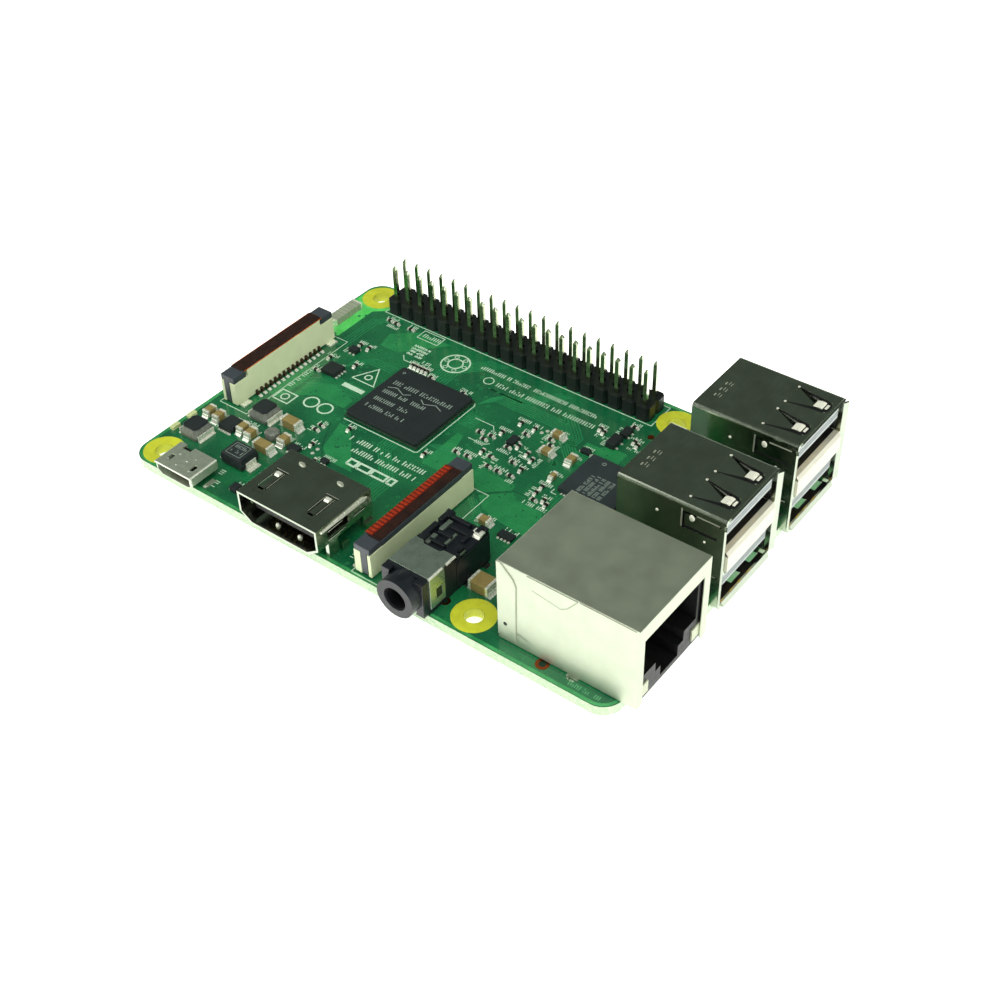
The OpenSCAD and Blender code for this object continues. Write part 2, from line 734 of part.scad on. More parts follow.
module network_shell() color("silver") at_network() {
  half = network_w / 2;
  difference() {
    box([0, -half, network_seat], [network_l, half, network_h]);
    box(
      [sheet_t, sheet_t - half, -cut],
      [network_l - sheet_t, half - sheet_t, network_h - sheet_t]
    );
    // Mouth, with a rim on the sides and a deeper one on top
    box(
      [network_l - 1, network_rim - half, -cut],
      [network_l + 1, half - network_rim, network_h - 2 * network_rim]
    );
    translate([1.1, 0, 3]) rotate([90, 0, 0]) cylinder(d = 0.5, h = network_w + 2, center = true);
  }
  for (s = [-1, 1]) block(
    [network_tab_x, s * (half - network_tab[1] / 2)],
    [network_tab[0], network_tab[1], board_t + tail_l + 0.5],
    -board_t - tail_l + 0.4
  );
}

module network_cavity() {
  front = network_l + cut;
  back = front - jack_depth;
  box([back, -jack_w / 2, jack_z[0]], [front, jack_w / 2, jack_z[1]]);
  // Keyway of the plug's latch, in two steps
  for (step = jack_steps)
    box([back, -step[0] / 2, step[1]], [front, step[0] / 2, jack_z[0] + 0.1]);
}

module network_insert() color([0.1, 0.1, 0.11]) at_network() difference() {
  wall = sheet_t + 0.05;
  box(
    [network_insert_x[0], wall - network_w / 2, network_seat],
    [network_insert_x[1], network_w / 2 - wall, network_h - wall]
  );
  network_cavity();
  light_pipe_pair();
}

// Bars that carry light from the back to the front of the insert
module light_pipe_pair() {
  front = network_insert_x[1] + 0.2;
  for (s = [-1, 1]) translate([0, s * light_window_y, light_window_z])
    box([front - 9.2, -light_window[0] / 2, 0], [front, light_window[0] / 2, light_window[1]]);
}

module network_light_pipes() color([0.7, 0.75, 0.3]) at_network() light_pipe_pair();

// Row of contact wires that slope down to the back of the cavity
module network_contacts() color("goldenrod") at_network()
  for (i = [0:7]) along_y((i - 3.5) * network_contact_pitch, 0.45)
    polygon([[8.1, 7.9], [18.4, 10.6], [18.4, 10.9], [8.1, 8.25]]);

// Signal coils behind the plug cavity
module network_coils() color([0.55, 0.3, 0.15]) at_network()
  for (y = [-5.4, -1.8, 1.8, 5.4], z = [3.6, 8.6])
    translate([3.4, y, z]) rotate([0, 90, 0])
      rotate_extrude() translate([1.1, 0]) circle(d = 1, $fn = 24);

module network_pins() color("silver") on_board() {
  top = 0.1;
  for (p = network_pin_sites) block(
    p, [network_pin_side, network_pin_side, top + board_t + tail_l - 0.3], -board_t - tail_l + 0.3
  );
  for (p = network_peg_sites)
    translate([p[0], p[1], -board_t - 0.8]) cylinder(d = network_peg_d, h = board_t + 0.8 + top);
}

// ---- Double plug stacks ----

module at_stack(i) {
  on_board() translate([stack_back_x, stack_y[i], 0]) children();
}

// Plan outline of a tapered spring finger on the top sheet
function finger_outline(grow) = [
  [finger_root_x, -finger_root_w / 2 - grow], [finger_tip_x + grow, -finger_tip_w / 2 - grow],
  [finger_tip_x + grow, finger_tip_w / 2 + grow], [finger_root_x, finger_root_w / 2 + grow]
];

module stack_shell() {
  bottom = 0.15;
  h = stack_h - bottom;
  difference() {
    along_x(0, stack_l) translate([0, bottom + h / 2]) polygon(rounded(stack_w, h, stack_corner_r));
    box(
      [sheet_t, sheet_t - stack_w / 2, -cut],
      [stack_l - sheet_t, stack_w / 2 - sheet_t, stack_h - sheet_t]
    );
    for (z = port_z) box([stack_l - 1, -port_w / 2, z], [stack_l + 1, port_w / 2, z + port_h]);
    for (s = [-1, 1]) {
      translate([0, s * finger_y, stack_h - 1]) linear_extrude(2) polygon(finger_outline(finger_gap));
      // Slits of the side fingers
      for (z = port_z) {
        box([9.8, s * stack_w / 2 - 1, z + 1.6], [10.15, s * stack_w / 2 + 1, z + 4.4]);
        box([9.8, s * stack_w / 2 - 1, z + 4.1], [15.4, s * stack_w / 2 + 1, z + 4.4]);
      }
    }
  }
  for (s = [-1, 1]) {
    // Spring fingers, dipping at the tip
    translate([0, s * finger_y, 0]) intersection() {
      translate([0, 0, stack_h - 2]) linear_extrude(2) polygon(finger_outline(0));
      along_y(0, finger_root_w) polygon([
        [finger_root_x - 0.1, stack_h - sheet_t], [13.3, stack_h - 0.9], [14.3, stack_h - 0.9],
        [finger_tip_x + 0.1, stack_h - 0.35], [finger_tip_x + 0.1, stack_h - 0.05],
        [14.1, stack_h - 0.6], [13.4, stack_h - 0.6], [finger_root_x - 0.1, stack_h]
      ]);
    }
    // Pegs into the board
    for (x = [2.7, 10.1]) block(
      [x, s * (stack_w / 2 - 0.4)], [1.4, 0.3, tail_l + board_t + 0.6], -board_t - tail_l
    );
    // Side lips of the mouth
    translate([0, s * port_w / 2, 0]) mirror([0, s < 0 ? 1 : 0, 0]) translate([0, 0, 1.2])
      linear_extrude(stack_h - 2.2) polygon([
        [stack_l - sheet_t, 0], [stack_l, 0], [stack_l + lip_l, lip_out],
        [stack_l + lip_l - 0.25, lip_out + 0.1], [stack_l - sheet_t, 0.25]
      ]);
  }
  // Top and bottom lips of each port
  for (z = port_z, up = [0, 1])
    translate([0, 0, z + up * port_h]) mirror([0, 0, 1 - up]) along_y(0, port_w - 0.8) polygon([
      [stack_l - sheet_t, 0], [stack_l, 0], [stack_l + lip_l, 0.65],
      [stack_l + lip_l - 0.25, 0.75], [stack_l - sheet_t, 0.25]
    ]);
}

function tongue_top(z) = z + port_h - tongue_room;

// Contact strips under each tongue, bent down at the back to the board
module stack_contact_set() {
  for (p = plug_contact_y, level = [0, 1]) {
    tongue_z = tongue_top(port_z[level]) - tongue_t;
    pin_x = level == 0 ? 3.6 : 1.1;
    box([pin_x - 0.25, p - 0.25, pin_bottom + 0.2], [pin_x + 0.25, p + 0.25, tongue_z]);
    box([pin_x - 0.25, p - 0.5, tongue_z - 0.15], [stack_l - 1.2, p + 0.5, tongue_z]);
  }
}

module stack_insulator_body() difference() {
  union() {
    box([0.4, -5.9, 0.6], [5.5, 5.9, stack_h - 0.5]);
    box([5.4, -5.9, port_z[0] + port_h + 0.6], [stack_l - 1.5, 5.9, port_z[1] - 0.6]);
    for (z = port_z) box(
      [5.4, -tongue_w / 2, tongue_top(z) - tongue_t], [stack_l - 0.9, tongue_w / 2, tongue_top(z)]
    );
  }
  stack_contact_set();
}

module upper_stack_shell() color("silver") at_stack(1) stack_shell();
module upper_stack_insulator() color("gainsboro") at_stack(1) stack_insulator_body();
module upper_stack_contacts() color("goldenrod") at_stack(1) stack_contact_set();
module lower_stack_shell() color("silver") at_stack(0) stack_shell();
module lower_stack_insulator() color("gainsboro") at_stack(0) stack_insulator_body();
module lower_stack_contacts() color("goldenrod") at_stack(0) stack_contact_set();

// ---- Memory card slot, below the board ----

module card_slot_shell() color("silver") on_board() difference() {
  middle = (card_slot_x[0] + card_slot_x[1]) / 2;
  length = card_slot_x[1] - card_slot_x[0];
  bottom = -board_t - card_slot_h;
  block([middle, card_slot_y], [length, card_slot_w, card_slot_h], bottom);
  // Inside, open towards the board's edge
  block(
    [middle - card_sheet_t, card_slot_y],
    [length + 0.1, card_slot_w - 2 * card_sheet_t, card_slot_h], bottom + card_sheet_t
  );
  // Windows over the card's springs
  for (s = [-1, 1]) block([7.5, card_slot_y + s * 3.2], [3, 1, 1], bottom - cut);
}

module card_slot_base() color([0.1, 0.1, 0.1]) on_board() difference() {
  base_t = card_slot_h - card_sheet_t - card_t - 0.1;
  base_w = card_slot_w - 2 * card_sheet_t - 0.1;
  union() {
    block([6.9, card_slot_y], [11.6, base_w, base_t], -board_t - base_t);
    // Stop at the back
    block([12.4, card_slot_y], [1.2, base_w, card_slot_h - 0.3], 0.3 - board_t - card_slot_h);
  }
  card_slot_strips();
}

module card_slot_strips() {
  for (i = [-3.5:3.5]) block([8.4, card_slot_y + i * 1.1], [5, 0.5, 0.15], -board_t - 0.4);
}

module card_slot_contacts() color("goldenrod") on_board() card_slot_strips();

circuit_board();
processor_substrate();
processor_cap();
processor_solder_balls();
memory_substrate();
memory_cap();
memory_solder_balls();
hub_chip();
hub_chip_pads();
wireless_chip();
chip_antenna();
small_chips();
small_chip_leads();
clock_crystals();
inductor_cores();
inductor_terminals();
power_diode_body();
power_diode_leads();
resettable_fuse();
large_capacitor_bodies();
large_capacitor_ends();
small_part_bodies();
small_part_ends();
status_lights();
power_socket_shell();
power_socket_insulator();
power_socket_contacts();
video_socket_shell();
video_socket_insulator();
video_socket_contacts();
audio_socket_body();
audio_socket_springs();
camera_housing();
camera_latch();
camera_contacts();
camera_anchors();
camera_film();
display_housing();
display_latch();
display_contacts();
display_anchors();
display_film();
header_strip();
header_pins();
network_shell();
network_insert();
network_contacts();
network_light_pipes();
network_coils();
network_pins();
upper_stack_shell();
upper_stack_insulator();
upper_stack_contacts();
lower_stack_shell();
lower_stack_insulator();
lower_stack_contacts();
card_slot_shell();
card_slot_base();
card_slot_contacts();
test_pads();
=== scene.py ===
"""Looks of a single board computer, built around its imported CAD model.

Lengths are millimetres in the board's own frame (its low corner, its top face at z = 0) until a
piece is made, and metres in the row frame after that.
"""

import json
import math
import random

import bmesh
import bpy
from mathutils import Matrix, Vector


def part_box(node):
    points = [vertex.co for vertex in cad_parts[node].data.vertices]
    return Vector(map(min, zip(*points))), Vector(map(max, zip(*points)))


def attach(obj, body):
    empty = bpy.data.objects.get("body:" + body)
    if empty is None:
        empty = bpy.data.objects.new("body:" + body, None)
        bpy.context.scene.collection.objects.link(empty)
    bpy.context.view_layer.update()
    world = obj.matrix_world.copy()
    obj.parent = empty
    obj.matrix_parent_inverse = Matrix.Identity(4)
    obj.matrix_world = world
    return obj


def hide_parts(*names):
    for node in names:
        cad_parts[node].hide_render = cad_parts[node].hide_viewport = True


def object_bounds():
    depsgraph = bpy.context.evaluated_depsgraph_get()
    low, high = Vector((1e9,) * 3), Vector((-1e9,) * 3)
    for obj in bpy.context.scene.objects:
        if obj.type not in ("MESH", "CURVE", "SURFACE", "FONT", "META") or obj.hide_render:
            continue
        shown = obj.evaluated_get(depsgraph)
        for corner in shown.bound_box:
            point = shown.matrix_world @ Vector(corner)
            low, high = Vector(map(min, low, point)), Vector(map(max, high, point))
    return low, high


MM = 0.001

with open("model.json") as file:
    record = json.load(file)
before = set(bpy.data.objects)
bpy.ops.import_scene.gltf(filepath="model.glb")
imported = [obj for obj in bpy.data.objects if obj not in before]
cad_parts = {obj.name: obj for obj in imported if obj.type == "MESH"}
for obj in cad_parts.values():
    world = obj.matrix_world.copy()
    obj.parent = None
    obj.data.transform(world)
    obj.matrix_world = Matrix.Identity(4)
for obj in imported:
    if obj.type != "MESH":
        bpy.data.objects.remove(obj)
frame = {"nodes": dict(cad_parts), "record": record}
cad_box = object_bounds()
nodes = frame["nodes"]
chance = random.Random(7)

board_low, board_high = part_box("circuit_board")
ORIGIN = Vector((board_low.x, board_low.y, board_high.z))
BOARD_L = (board_high.x - board_low.x) / MM
BOARD_W = (board_high.y - board_low.y) / MM
BOARD_T = (board_high.z - board_low.z) / MM
BOARD = "board"
BOARD_CORNER = 3.0
HOLE_R = 1.375
PAD_R = 3.1
SINK = 0.01  # how far marks, sheets and plating reach into what they lie on
INK_T = 0.022
MASK_T = 0.006
# Dark films for slits and holes are painted shade
GAP_T = 0.012  # of the dark films that stand for slits and holes
TONGUE_T = 1.9
STACK_TOP = 15.6


def local(point):
    """A point of the row frame, in the board's millimetres."""
    return (Vector(point) - ORIGIN) / MM


def area(node):
    """A CAD node's lowest and highest corner, in the board's millimetres."""
    low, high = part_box(node)
    return local(low), local(high)


def islands(node):
    """The box of each separate solid of a CAD node, as (lowest, highest) in the board's millimetres."""
    mesh = bmesh.new()
    mesh.from_mesh(nodes[node].data)
    bmesh.ops.remove_doubles(mesh, verts=mesh.verts, dist=1e-7)
    left = set(mesh.verts)
    found = []
    while left:
        stack = [left.pop()]
        members = list(stack)
        while stack:
            for edge in stack.pop().link_edges:
                for vert in edge.verts:
                    if vert in left:
                        left.remove(vert)
                        stack.append(vert)
                        members.append(vert)
        points = [local(v.co) for v in members]
        low = Vector([min(p[k] for p in points) for k in range(3)])
        high = Vector([max(p[k] for p in points) for k in range(3)])
        found.append((low, high))
    mesh.free()
    return sorted(found, key=lambda box: tuple(round(c, 3) for c in box[0]))


# ---- Mesh building ----


class Shape:
    """Closed solids, collected in the board's millimetres."""

    def __init__(self):
        self.points = []
        self.faces = []
        self.turn = Matrix.Identity(4)

    def add(self, points, faces):
        start = len(self.points)
        self.points += [self.turn @ Vector(p) for p in points]
        self.faces += [[start + i for i in face] for face in faces]

    def loft(self, rings):
        """A solid whose skin runs through rings of equal length, with flat ends."""
        sides = len(rings[0])
        faces = [list(range(sides))[::-1]]
        for level in range(len(rings) - 1):
            faces += band(level * sides, (level + 1) * sides, sides)
        last = (len(rings) - 1) * sides
        faces.append([last + i for i in range(sides)])
        self.add([p for ring in rings for p in ring], faces)

    def hoop(self, rings):
        """A solid whose skin runs through rings of equal length and from the last one to the first."""
        sides = len(rings[0])
        faces = []
        for level in range(len(rings)):
            faces += band(level * sides, (level + 1) % len(rings) * sides, sides)
        self.add([p for ring in rings for p in ring], faces)

    def prism(self, outline, low, high):
        """An outline in XY between two heights."""
        self.loft([[(p[0], p[1], z) for p in outline] for z in (low, high)])

    def box(self, low, high):
        self.prism(rectangle(low, high), low[2], high[2])

    def block(self, low, high, profile):
        """A box with cut corners. Its profile gives height, inset and size of corner from the bottom up."""
        self.loft([chamfered(low, high, inset, corner, z) for z, inset, corner in profile])

    def disc(self, centre, radius, low, high, sides=20):
        self.loft([circle(centre, radius, z, sides) for z in (low, high)])

    def washer(self, centre, inner, outer, low, high, sides=40):
        corners = ((inner, low), (outer, low), (outer, high), (inner, high))
        self.hoop([circle(centre, radius, z, sides) for radius, z in corners])

    def ribbon(self, path, width, low, high):
        """A flat strip along a path in XY, mitred at its bends."""
        path = [Vector(p) for p in path]
        left, right = [], []
        for i, p in enumerate(path):
            before = (p - path[i - 1]).normalized() if i else None
            after = (path[i + 1] - p).normalized() if i + 1 < len(path) else None
            along = ((before or after) + (after or before)).normalized()
            across = Vector((-along.y, along.x)) * width / 2
            stretch = 1 / max(0.5, abs(along.dot(before or after)))
            left.append(p + across * stretch)
            right.append(p - across * stretch)
        for i in range(len(path) - 1):
            self.prism([right[i], right[i + 1], left[i + 1], left[i]], low, high)

    def tube(self, path, radius, sides=8):
        """A round wire along a path, with closed ends."""
        path = [Vector(p) for p in path]
        angles = [2 * math.pi * k / sides for k in range(sides)]
        rings = []
        for i, p in enumerate(path):
            along = (path[min(i + 1, len(path) - 1)] - path[max(i - 1, 0)]).normalized()
            side = along.cross(Vector((0, 0, 1)))
            side = side.normalized() if side.length > 1e-4 else Vector((0, 1, 0))
            up = side.cross(along)
            rings.append([p + (side * math.cos(a) + up * math.sin(a)) * radius for a in angles])
        self.loft(rings)

    def bar(self, profile, start, out, width):
        """A side view, drawn as (distance along out, height), drawn out sideways by width about start."""
        out = Vector((out[0], out[1], 0)).normalized()
        side = Vector((-out.y, out.x, 0)) * width / 2
        points = [Vector(start) + out * a + Vector((0, 0, b)) for a, b in profile]
        self.loft([[p - side for p in points], [p + side for p in points]])

    def dome(self, centre, radius, height, rings=4, sides=12, squash=1.0):
        """A low round bump, standing on centre."""
        levels = []
        for k in range(rings):
            a = math.pi / 2 * k / rings
            z = centre[2] + height * math.sin(a)
            levels.append(circle(centre, radius * math.cos(a), z, sides, squash))
        levels.append(circle(centre, radius * 0.05, centre[2] + height, sides, squash))
        self.loft(levels)


class Marks(Shape):
    """Thin flat marks on a surface, such as printing."""

    def __init__(self, surface=0.0, thick=INK_T):
        super().__init__()
        self.lay_on(surface, thick)

    def lay_on(self, surface, thick):
        self.floor, self.top = surface - SINK, surface + thick

    def plate(self, outline):
        self.prism(outline, self.floor, self.top)

    def line(self, path, width):
        self.ribbon(path, width, self.floor, self.top)

    def frame(self, low, high, width=0.15):
        corners = rectangle(low, high)
        self.line(corners + corners[:1], width)

    def ring(self, centre, inner, outer, sides=24):
        self.washer(centre, inner, outer, self.floor, self.top, sides)

    def dot(self, centre, radius, sides=20):
        self.disc(centre, radius, self.floor, self.top, sides)

    def strokes(self, x, y, count, height=0.8, upright=False, width=0.13):
        """A row of plain bars, some of them short, in place of a line of lettering."""
        step, long = height * 0.46, width * 1.25
        for i in range(round(count * 1.7)):
            kind = chance.random()
            if kind < 0.16:
                continue
            spans = [(0, height)] if kind < 0.7 else [(0, height * 0.62)]
            if kind > 0.9:
                spans = [(0, height * 0.3), (height * 0.62, height)]
            for low, high in spans:
                if upright:
                    self.plate(rectangle((x - high, y + i * step), (x - low, y + i * step + long)))
                else:
                    self.plate(rectangle((x + i * step, y + low), (x + i * step + long, y + high)))


def circle(centre, radius, z, sides, squash=1.0):
    angles = [2 * math.pi * k / sides for k in range(sides)]
    x, y = centre[0], centre[1]
    return [(x + radius * math.cos(a), y + radius * squash * math.sin(a), z) for a in angles]


def rectangle(low, high):
    return [(low[0], low[1]), (high[0], low[1]), (high[0], high[1]), (low[0], high[1])]


def chamfered(low, high, inset, corner, z):
    """A rectangle with cut corners at one height, pulled in from a box."""
    x0, x1, y0, y1 = low.x + inset, high.x - inset, low.y + inset, high.y - inset
    return [
        (x0 + corner, y0, z), (x1 - corner, y0, z), (x1, y0 + corner, z), (x1, y1 - corner, z),
        (x1 - corner, y1, z), (x0 + corner, y1, z), (x0, y1 - corner, z), (x0, y0 + corner, z),
    ]


def band(a, b, sides):
    """The faces between two rings, whose points start at a and at b."""
    return [[a + i, a + (i + 1) % sides, b + (i + 1) % sides, b + i] for i in range(sides)]


def sheet_on(wall, side, inside, outside):
    """The two faces of a sheet on a wall that looks to side, from how far it reaches in and out."""
    return sorted((wall - side * inside, wall + side * outside))


def facing(point, outward, along=(0, 0, 1)):
    """Places a shape drawn on the XY plane on a wall: its Z looks outward and its X runs along."""
    z = Vector(outward)
    x = Vector(along)
    turn = Matrix((x, z.cross(x), z)).transposed().to_4x4()
    return Matrix.Translation(point) @ turn


def soften(obj, width):
    """Rounds the sharp edges of a piece or CAD node by a modifier."""
    weld = obj.modifiers.new("weld", "WELD")
    weld.merge_threshold = 1e-7
    bevel = obj.modifiers.new("bevel", "BEVEL")
    bevel.width = width * MM
    bevel.segments = 2
    bevel.limit_method = "ANGLE"
    bevel.angle_limit = math.radians(32)
    bevel.use_clamp_overlap = True
    bevel.harden_normals = True


def piece(name, shape, look, body=BOARD, replaces=(), bevel=0.0, smooth=False):
    """Makes the piece of a shape, on a CAD body. Its slot is its look's name."""
    mesh = bpy.data.meshes.new(name)
    mesh.from_pydata([ORIGIN + p * MM for p in shape.points], [], shape.faces)
    mesh.materials.append(LOOKS[look])
    built = bmesh.new()
    built.from_mesh(mesh)
    bmesh.ops.recalc_face_normals(built, faces=built.faces)
    built.to_mesh(mesh)
    built.free()
    if smooth:
        mesh.shade_smooth()
        mesh.set_sharp_from_angle(angle=math.radians(40))
    obj = bpy.data.objects.new(name, mesh)
    bpy.context.scene.collection.objects.link(obj)
    if bevel:
        soften(obj, bevel)
    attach(obj, body)
    if replaces:
        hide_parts(*replaces)


# ---- Materials ----


def srgb(red, green, blue):
    """A colour given as screen values from 0 to 255, in linear light."""
    values = [c / 255 for c in (red, green, blue)]
    return (*[((c + 0.055) / 1.055) ** 2.4 if c > 10 / 255 else c / 12.92 for c in values], 1.0)


def varied(colour, vary):
    """A darker and a lighter version of a colour."""
    return [(*[min(1.0, c * factor) for c in srgb(*colour)[:3]], 1.0) for factor in (1 - vary, 1 + vary)]


class Graph:
    """A material's node tree, built from small calls."""

    def __init__(self, name):
        self.material = bpy.data.materials.new(name)
        self.material.use_nodes = True
        self.tree = self.material.node_tree
        self.tree.nodes.clear()
        self.place = self.node("ShaderNodeTexCoord").outputs["Object"]

    def node(self, kind, **settings):
        made = self.tree.nodes.new(kind)
        for key, value in settings.items():
            setattr(made, key, value)
        return made

    def feed(self, socket, value):
        if isinstance(value, bpy.types.NodeSocket):
            self.tree.links.new(value, socket)
        else:
            socket.default_value = value

    def stretched(self, scale):
        """Object coordinates, drawn out by a scale on each axis."""
        mapping = self.node("ShaderNodeMapping")
        self.feed(mapping.inputs["Vector"], self.place)
        mapping.inputs["Scale"].default_value = scale
        return mapping.outputs["Vector"]

    def noise(self, size, detail=3.0, vector=None):
        """Cloudy noise with blots of about size millimetres."""
        made = self.node("ShaderNodeTexNoise")
        self.feed(made.inputs["Vector"], vector or self.place)
        made.inputs["Scale"].default_value = 1 / (size * MM)
        made.inputs["Detail"].default_value = detail
        return made.outputs["Fac"]

    def ramp(self, value, low, high, start=0.3, end=0.7):
        """From the colour or number low to high, as value goes from start to end."""
        made = self.node("ShaderNodeMapRange", clamp=True)
        self.feed(made.inputs["Value"], value)
        made.inputs["From Min"].default_value = start
        made.inputs["From Max"].default_value = end
        if isinstance(low, tuple):
            return self.blend(made.outputs["Result"], low, high)
        made.inputs["To Min"].default_value = low
        made.inputs["To Max"].default_value = high
        return made.outputs["Result"]

    def blend(self, factor, first, second):
        made = self.node("ShaderNodeMix", data_type="RGBA")
        self.feed(made.inputs["Factor"], factor)
        self.feed(made.inputs[6], first)
        self.feed(made.inputs[7], second)
        return made.outputs[2]

    def calc(self, operation, first, second=0.0):
        made = self.node("ShaderNodeMath", operation=operation)
        self.feed(made.inputs[0], first)
        self.feed(made.inputs[1], second)
        return made.outputs[0]

    def squareness(self, axis):
        """How squarely a face looks along an axis, from 0 to 1."""
        split = self.node("ShaderNodeSeparateXYZ")
        self.feed(split.inputs[0], self.node("ShaderNodeNewGeometry").outputs["Normal"])
        return self.calc("ABSOLUTE", split.outputs[axis])

    def bump(self, height, strength, depth):
        made = self.node("ShaderNodeBump")
        made.inputs["Strength"].default_value = strength
        made.inputs["Distance"].default_value = depth * MM
        self.feed(made.inputs["Height"], height)
        return made.outputs["Normal"]

    def shader(self, **values):
        """Closes the tree with one Principled shader."""
        made = self.node("ShaderNodeBsdfPrincipled")
        out = self.node("ShaderNodeOutputMaterial")
        for key, value in values.items():
            self.feed(made.inputs[key.replace("_", " ")], value)
        self.tree.links.new(made.outputs[0], out.inputs["Surface"])
        return self.material


def plain(
    name, colour, vary=0.12, blot=2.0, rough=(0.4, 0.55), grain=0.12, depth=0.004, metallic=0.0, coat=0.0,
):
    """A moulded or cast material: slow colour change, uneven gloss and a fine grain."""
    g = Graph(name)
    return g.shader(
        Base_Color=g.ramp(g.noise(blot), *varied(colour, vary)),
        Roughness=g.ramp(g.noise(blot * 0.6), *rough),
        Normal=g.bump(g.noise(grain, 4.0), 0.5, depth), Metallic=metallic, Coat_Weight=coat,
    )


def metal(name, colour, vary=0.05, blot=2.4, rough=(0.18, 0.26), metallic=1.0, drawn=(1, 1, 1)):
    """A plated metal: cloudy reflections, drawn scratches and small pits."""
    g = Graph(name)
    clouds = g.noise(blot, 2.0)
    streaks = g.noise(0.5, 2.0, g.stretched(drawn))
    return g.shader(
        Base_Color=g.ramp(clouds, *varied(colour, vary)),
        Roughness=g.calc("ADD", g.ramp(clouds, *rough), g.ramp(streaks, -0.03, 0.03)),
        Normal=g.bump(streaks, 0.2, 0.0006), Metallic=metallic,
    )


MASK_COAT = {"Coat_Weight": 0.6, "Coat_Roughness": 0.1, "Coat_IOR": 1.6}


def board_laminate():
    """Green solder mask over copper and bare laminate, pale on the cut edges."""
    g = Graph("board_laminate")
    tone = g.ramp(g.noise(7.0, 1.0), srgb(15, 90, 56), srgb(26, 112, 66), 0.35, 0.65)
    weave = g.noise(0.35, 2.0)
    tone = g.blend(g.ramp(weave, 0.0, 0.3), tone, srgb(12, 70, 44))
    flat = g.ramp(g.squareness(2), 0.0, 1.0, 0.3, 0.6)
    fibres = g.noise(0.3, 3.0, g.stretched((1, 1, 6)))
    cut = g.ramp(fibres, srgb(112, 166, 112), srgb(200, 214, 180), 0.32, 0.62)
    return g.shader(
        Base_Color=g.blend(flat, cut, tone), Roughness=g.ramp(g.noise(1.5), 0.22, 0.34),
        Normal=g.bump(weave, 0.3, 0.003), **MASK_COAT,
    )


def amber_film():
    g = Graph("amber_film")
    tone = g.ramp(g.noise(1.2), srgb(32, 14, 12), srgb(50, 24, 18))
    return g.shader(
        Base_Color=tone, Roughness=g.ramp(g.noise(0.8), 0.18, 0.3), Coat_Weight=0.6, Coat_Roughness=0.1,
        Normal=g.bump(g.noise(0.5), 0.4, 0.01),
    )


def pin_plating_painted_light():
    """Square pins cut from a strip, with painted light by side: a bright painted highlight on faces across
    X, a darker painted reflection on faces across Y.
    """
    g = Graph("pin_plating_painted_light")
    # The faces that look along Y get the dark painted reflection, the others the bright painted highlight
    cut = g.ramp(g.squareness(1), 0.0, 1.0, 0.6, 0.75)
    painted_lit_faces = g.ramp(g.noise(1.0), srgb(216, 224, 200), srgb(236, 242, 220))
    painted_dark_faces = g.ramp(g.noise(0.6), srgb(96, 116, 84), srgb(130, 150, 110))
    return g.shader(
        Base_Color=g.blend(cut, painted_lit_faces, painted_dark_faces), Metallic=1.0,
        Roughness=g.ramp(g.noise(0.8), 0.1, 0.18), Normal=g.bump(g.noise(0.4), 0.2, 0.0005),
    )


def solder_mask(name, low, high):
    """Green mask over a copper plane or track."""
    g = Graph(name)
    return g.shader(
        Base_Color=g.ramp(g.noise(2.5), srgb(*low), srgb(*high)),
        Roughness=g.ramp(g.noise(1.5), 0.22, 0.34),
        Normal=g.bump(g.noise(0.35, 2.0), 0.3, 0.003), **MASK_COAT,
    )


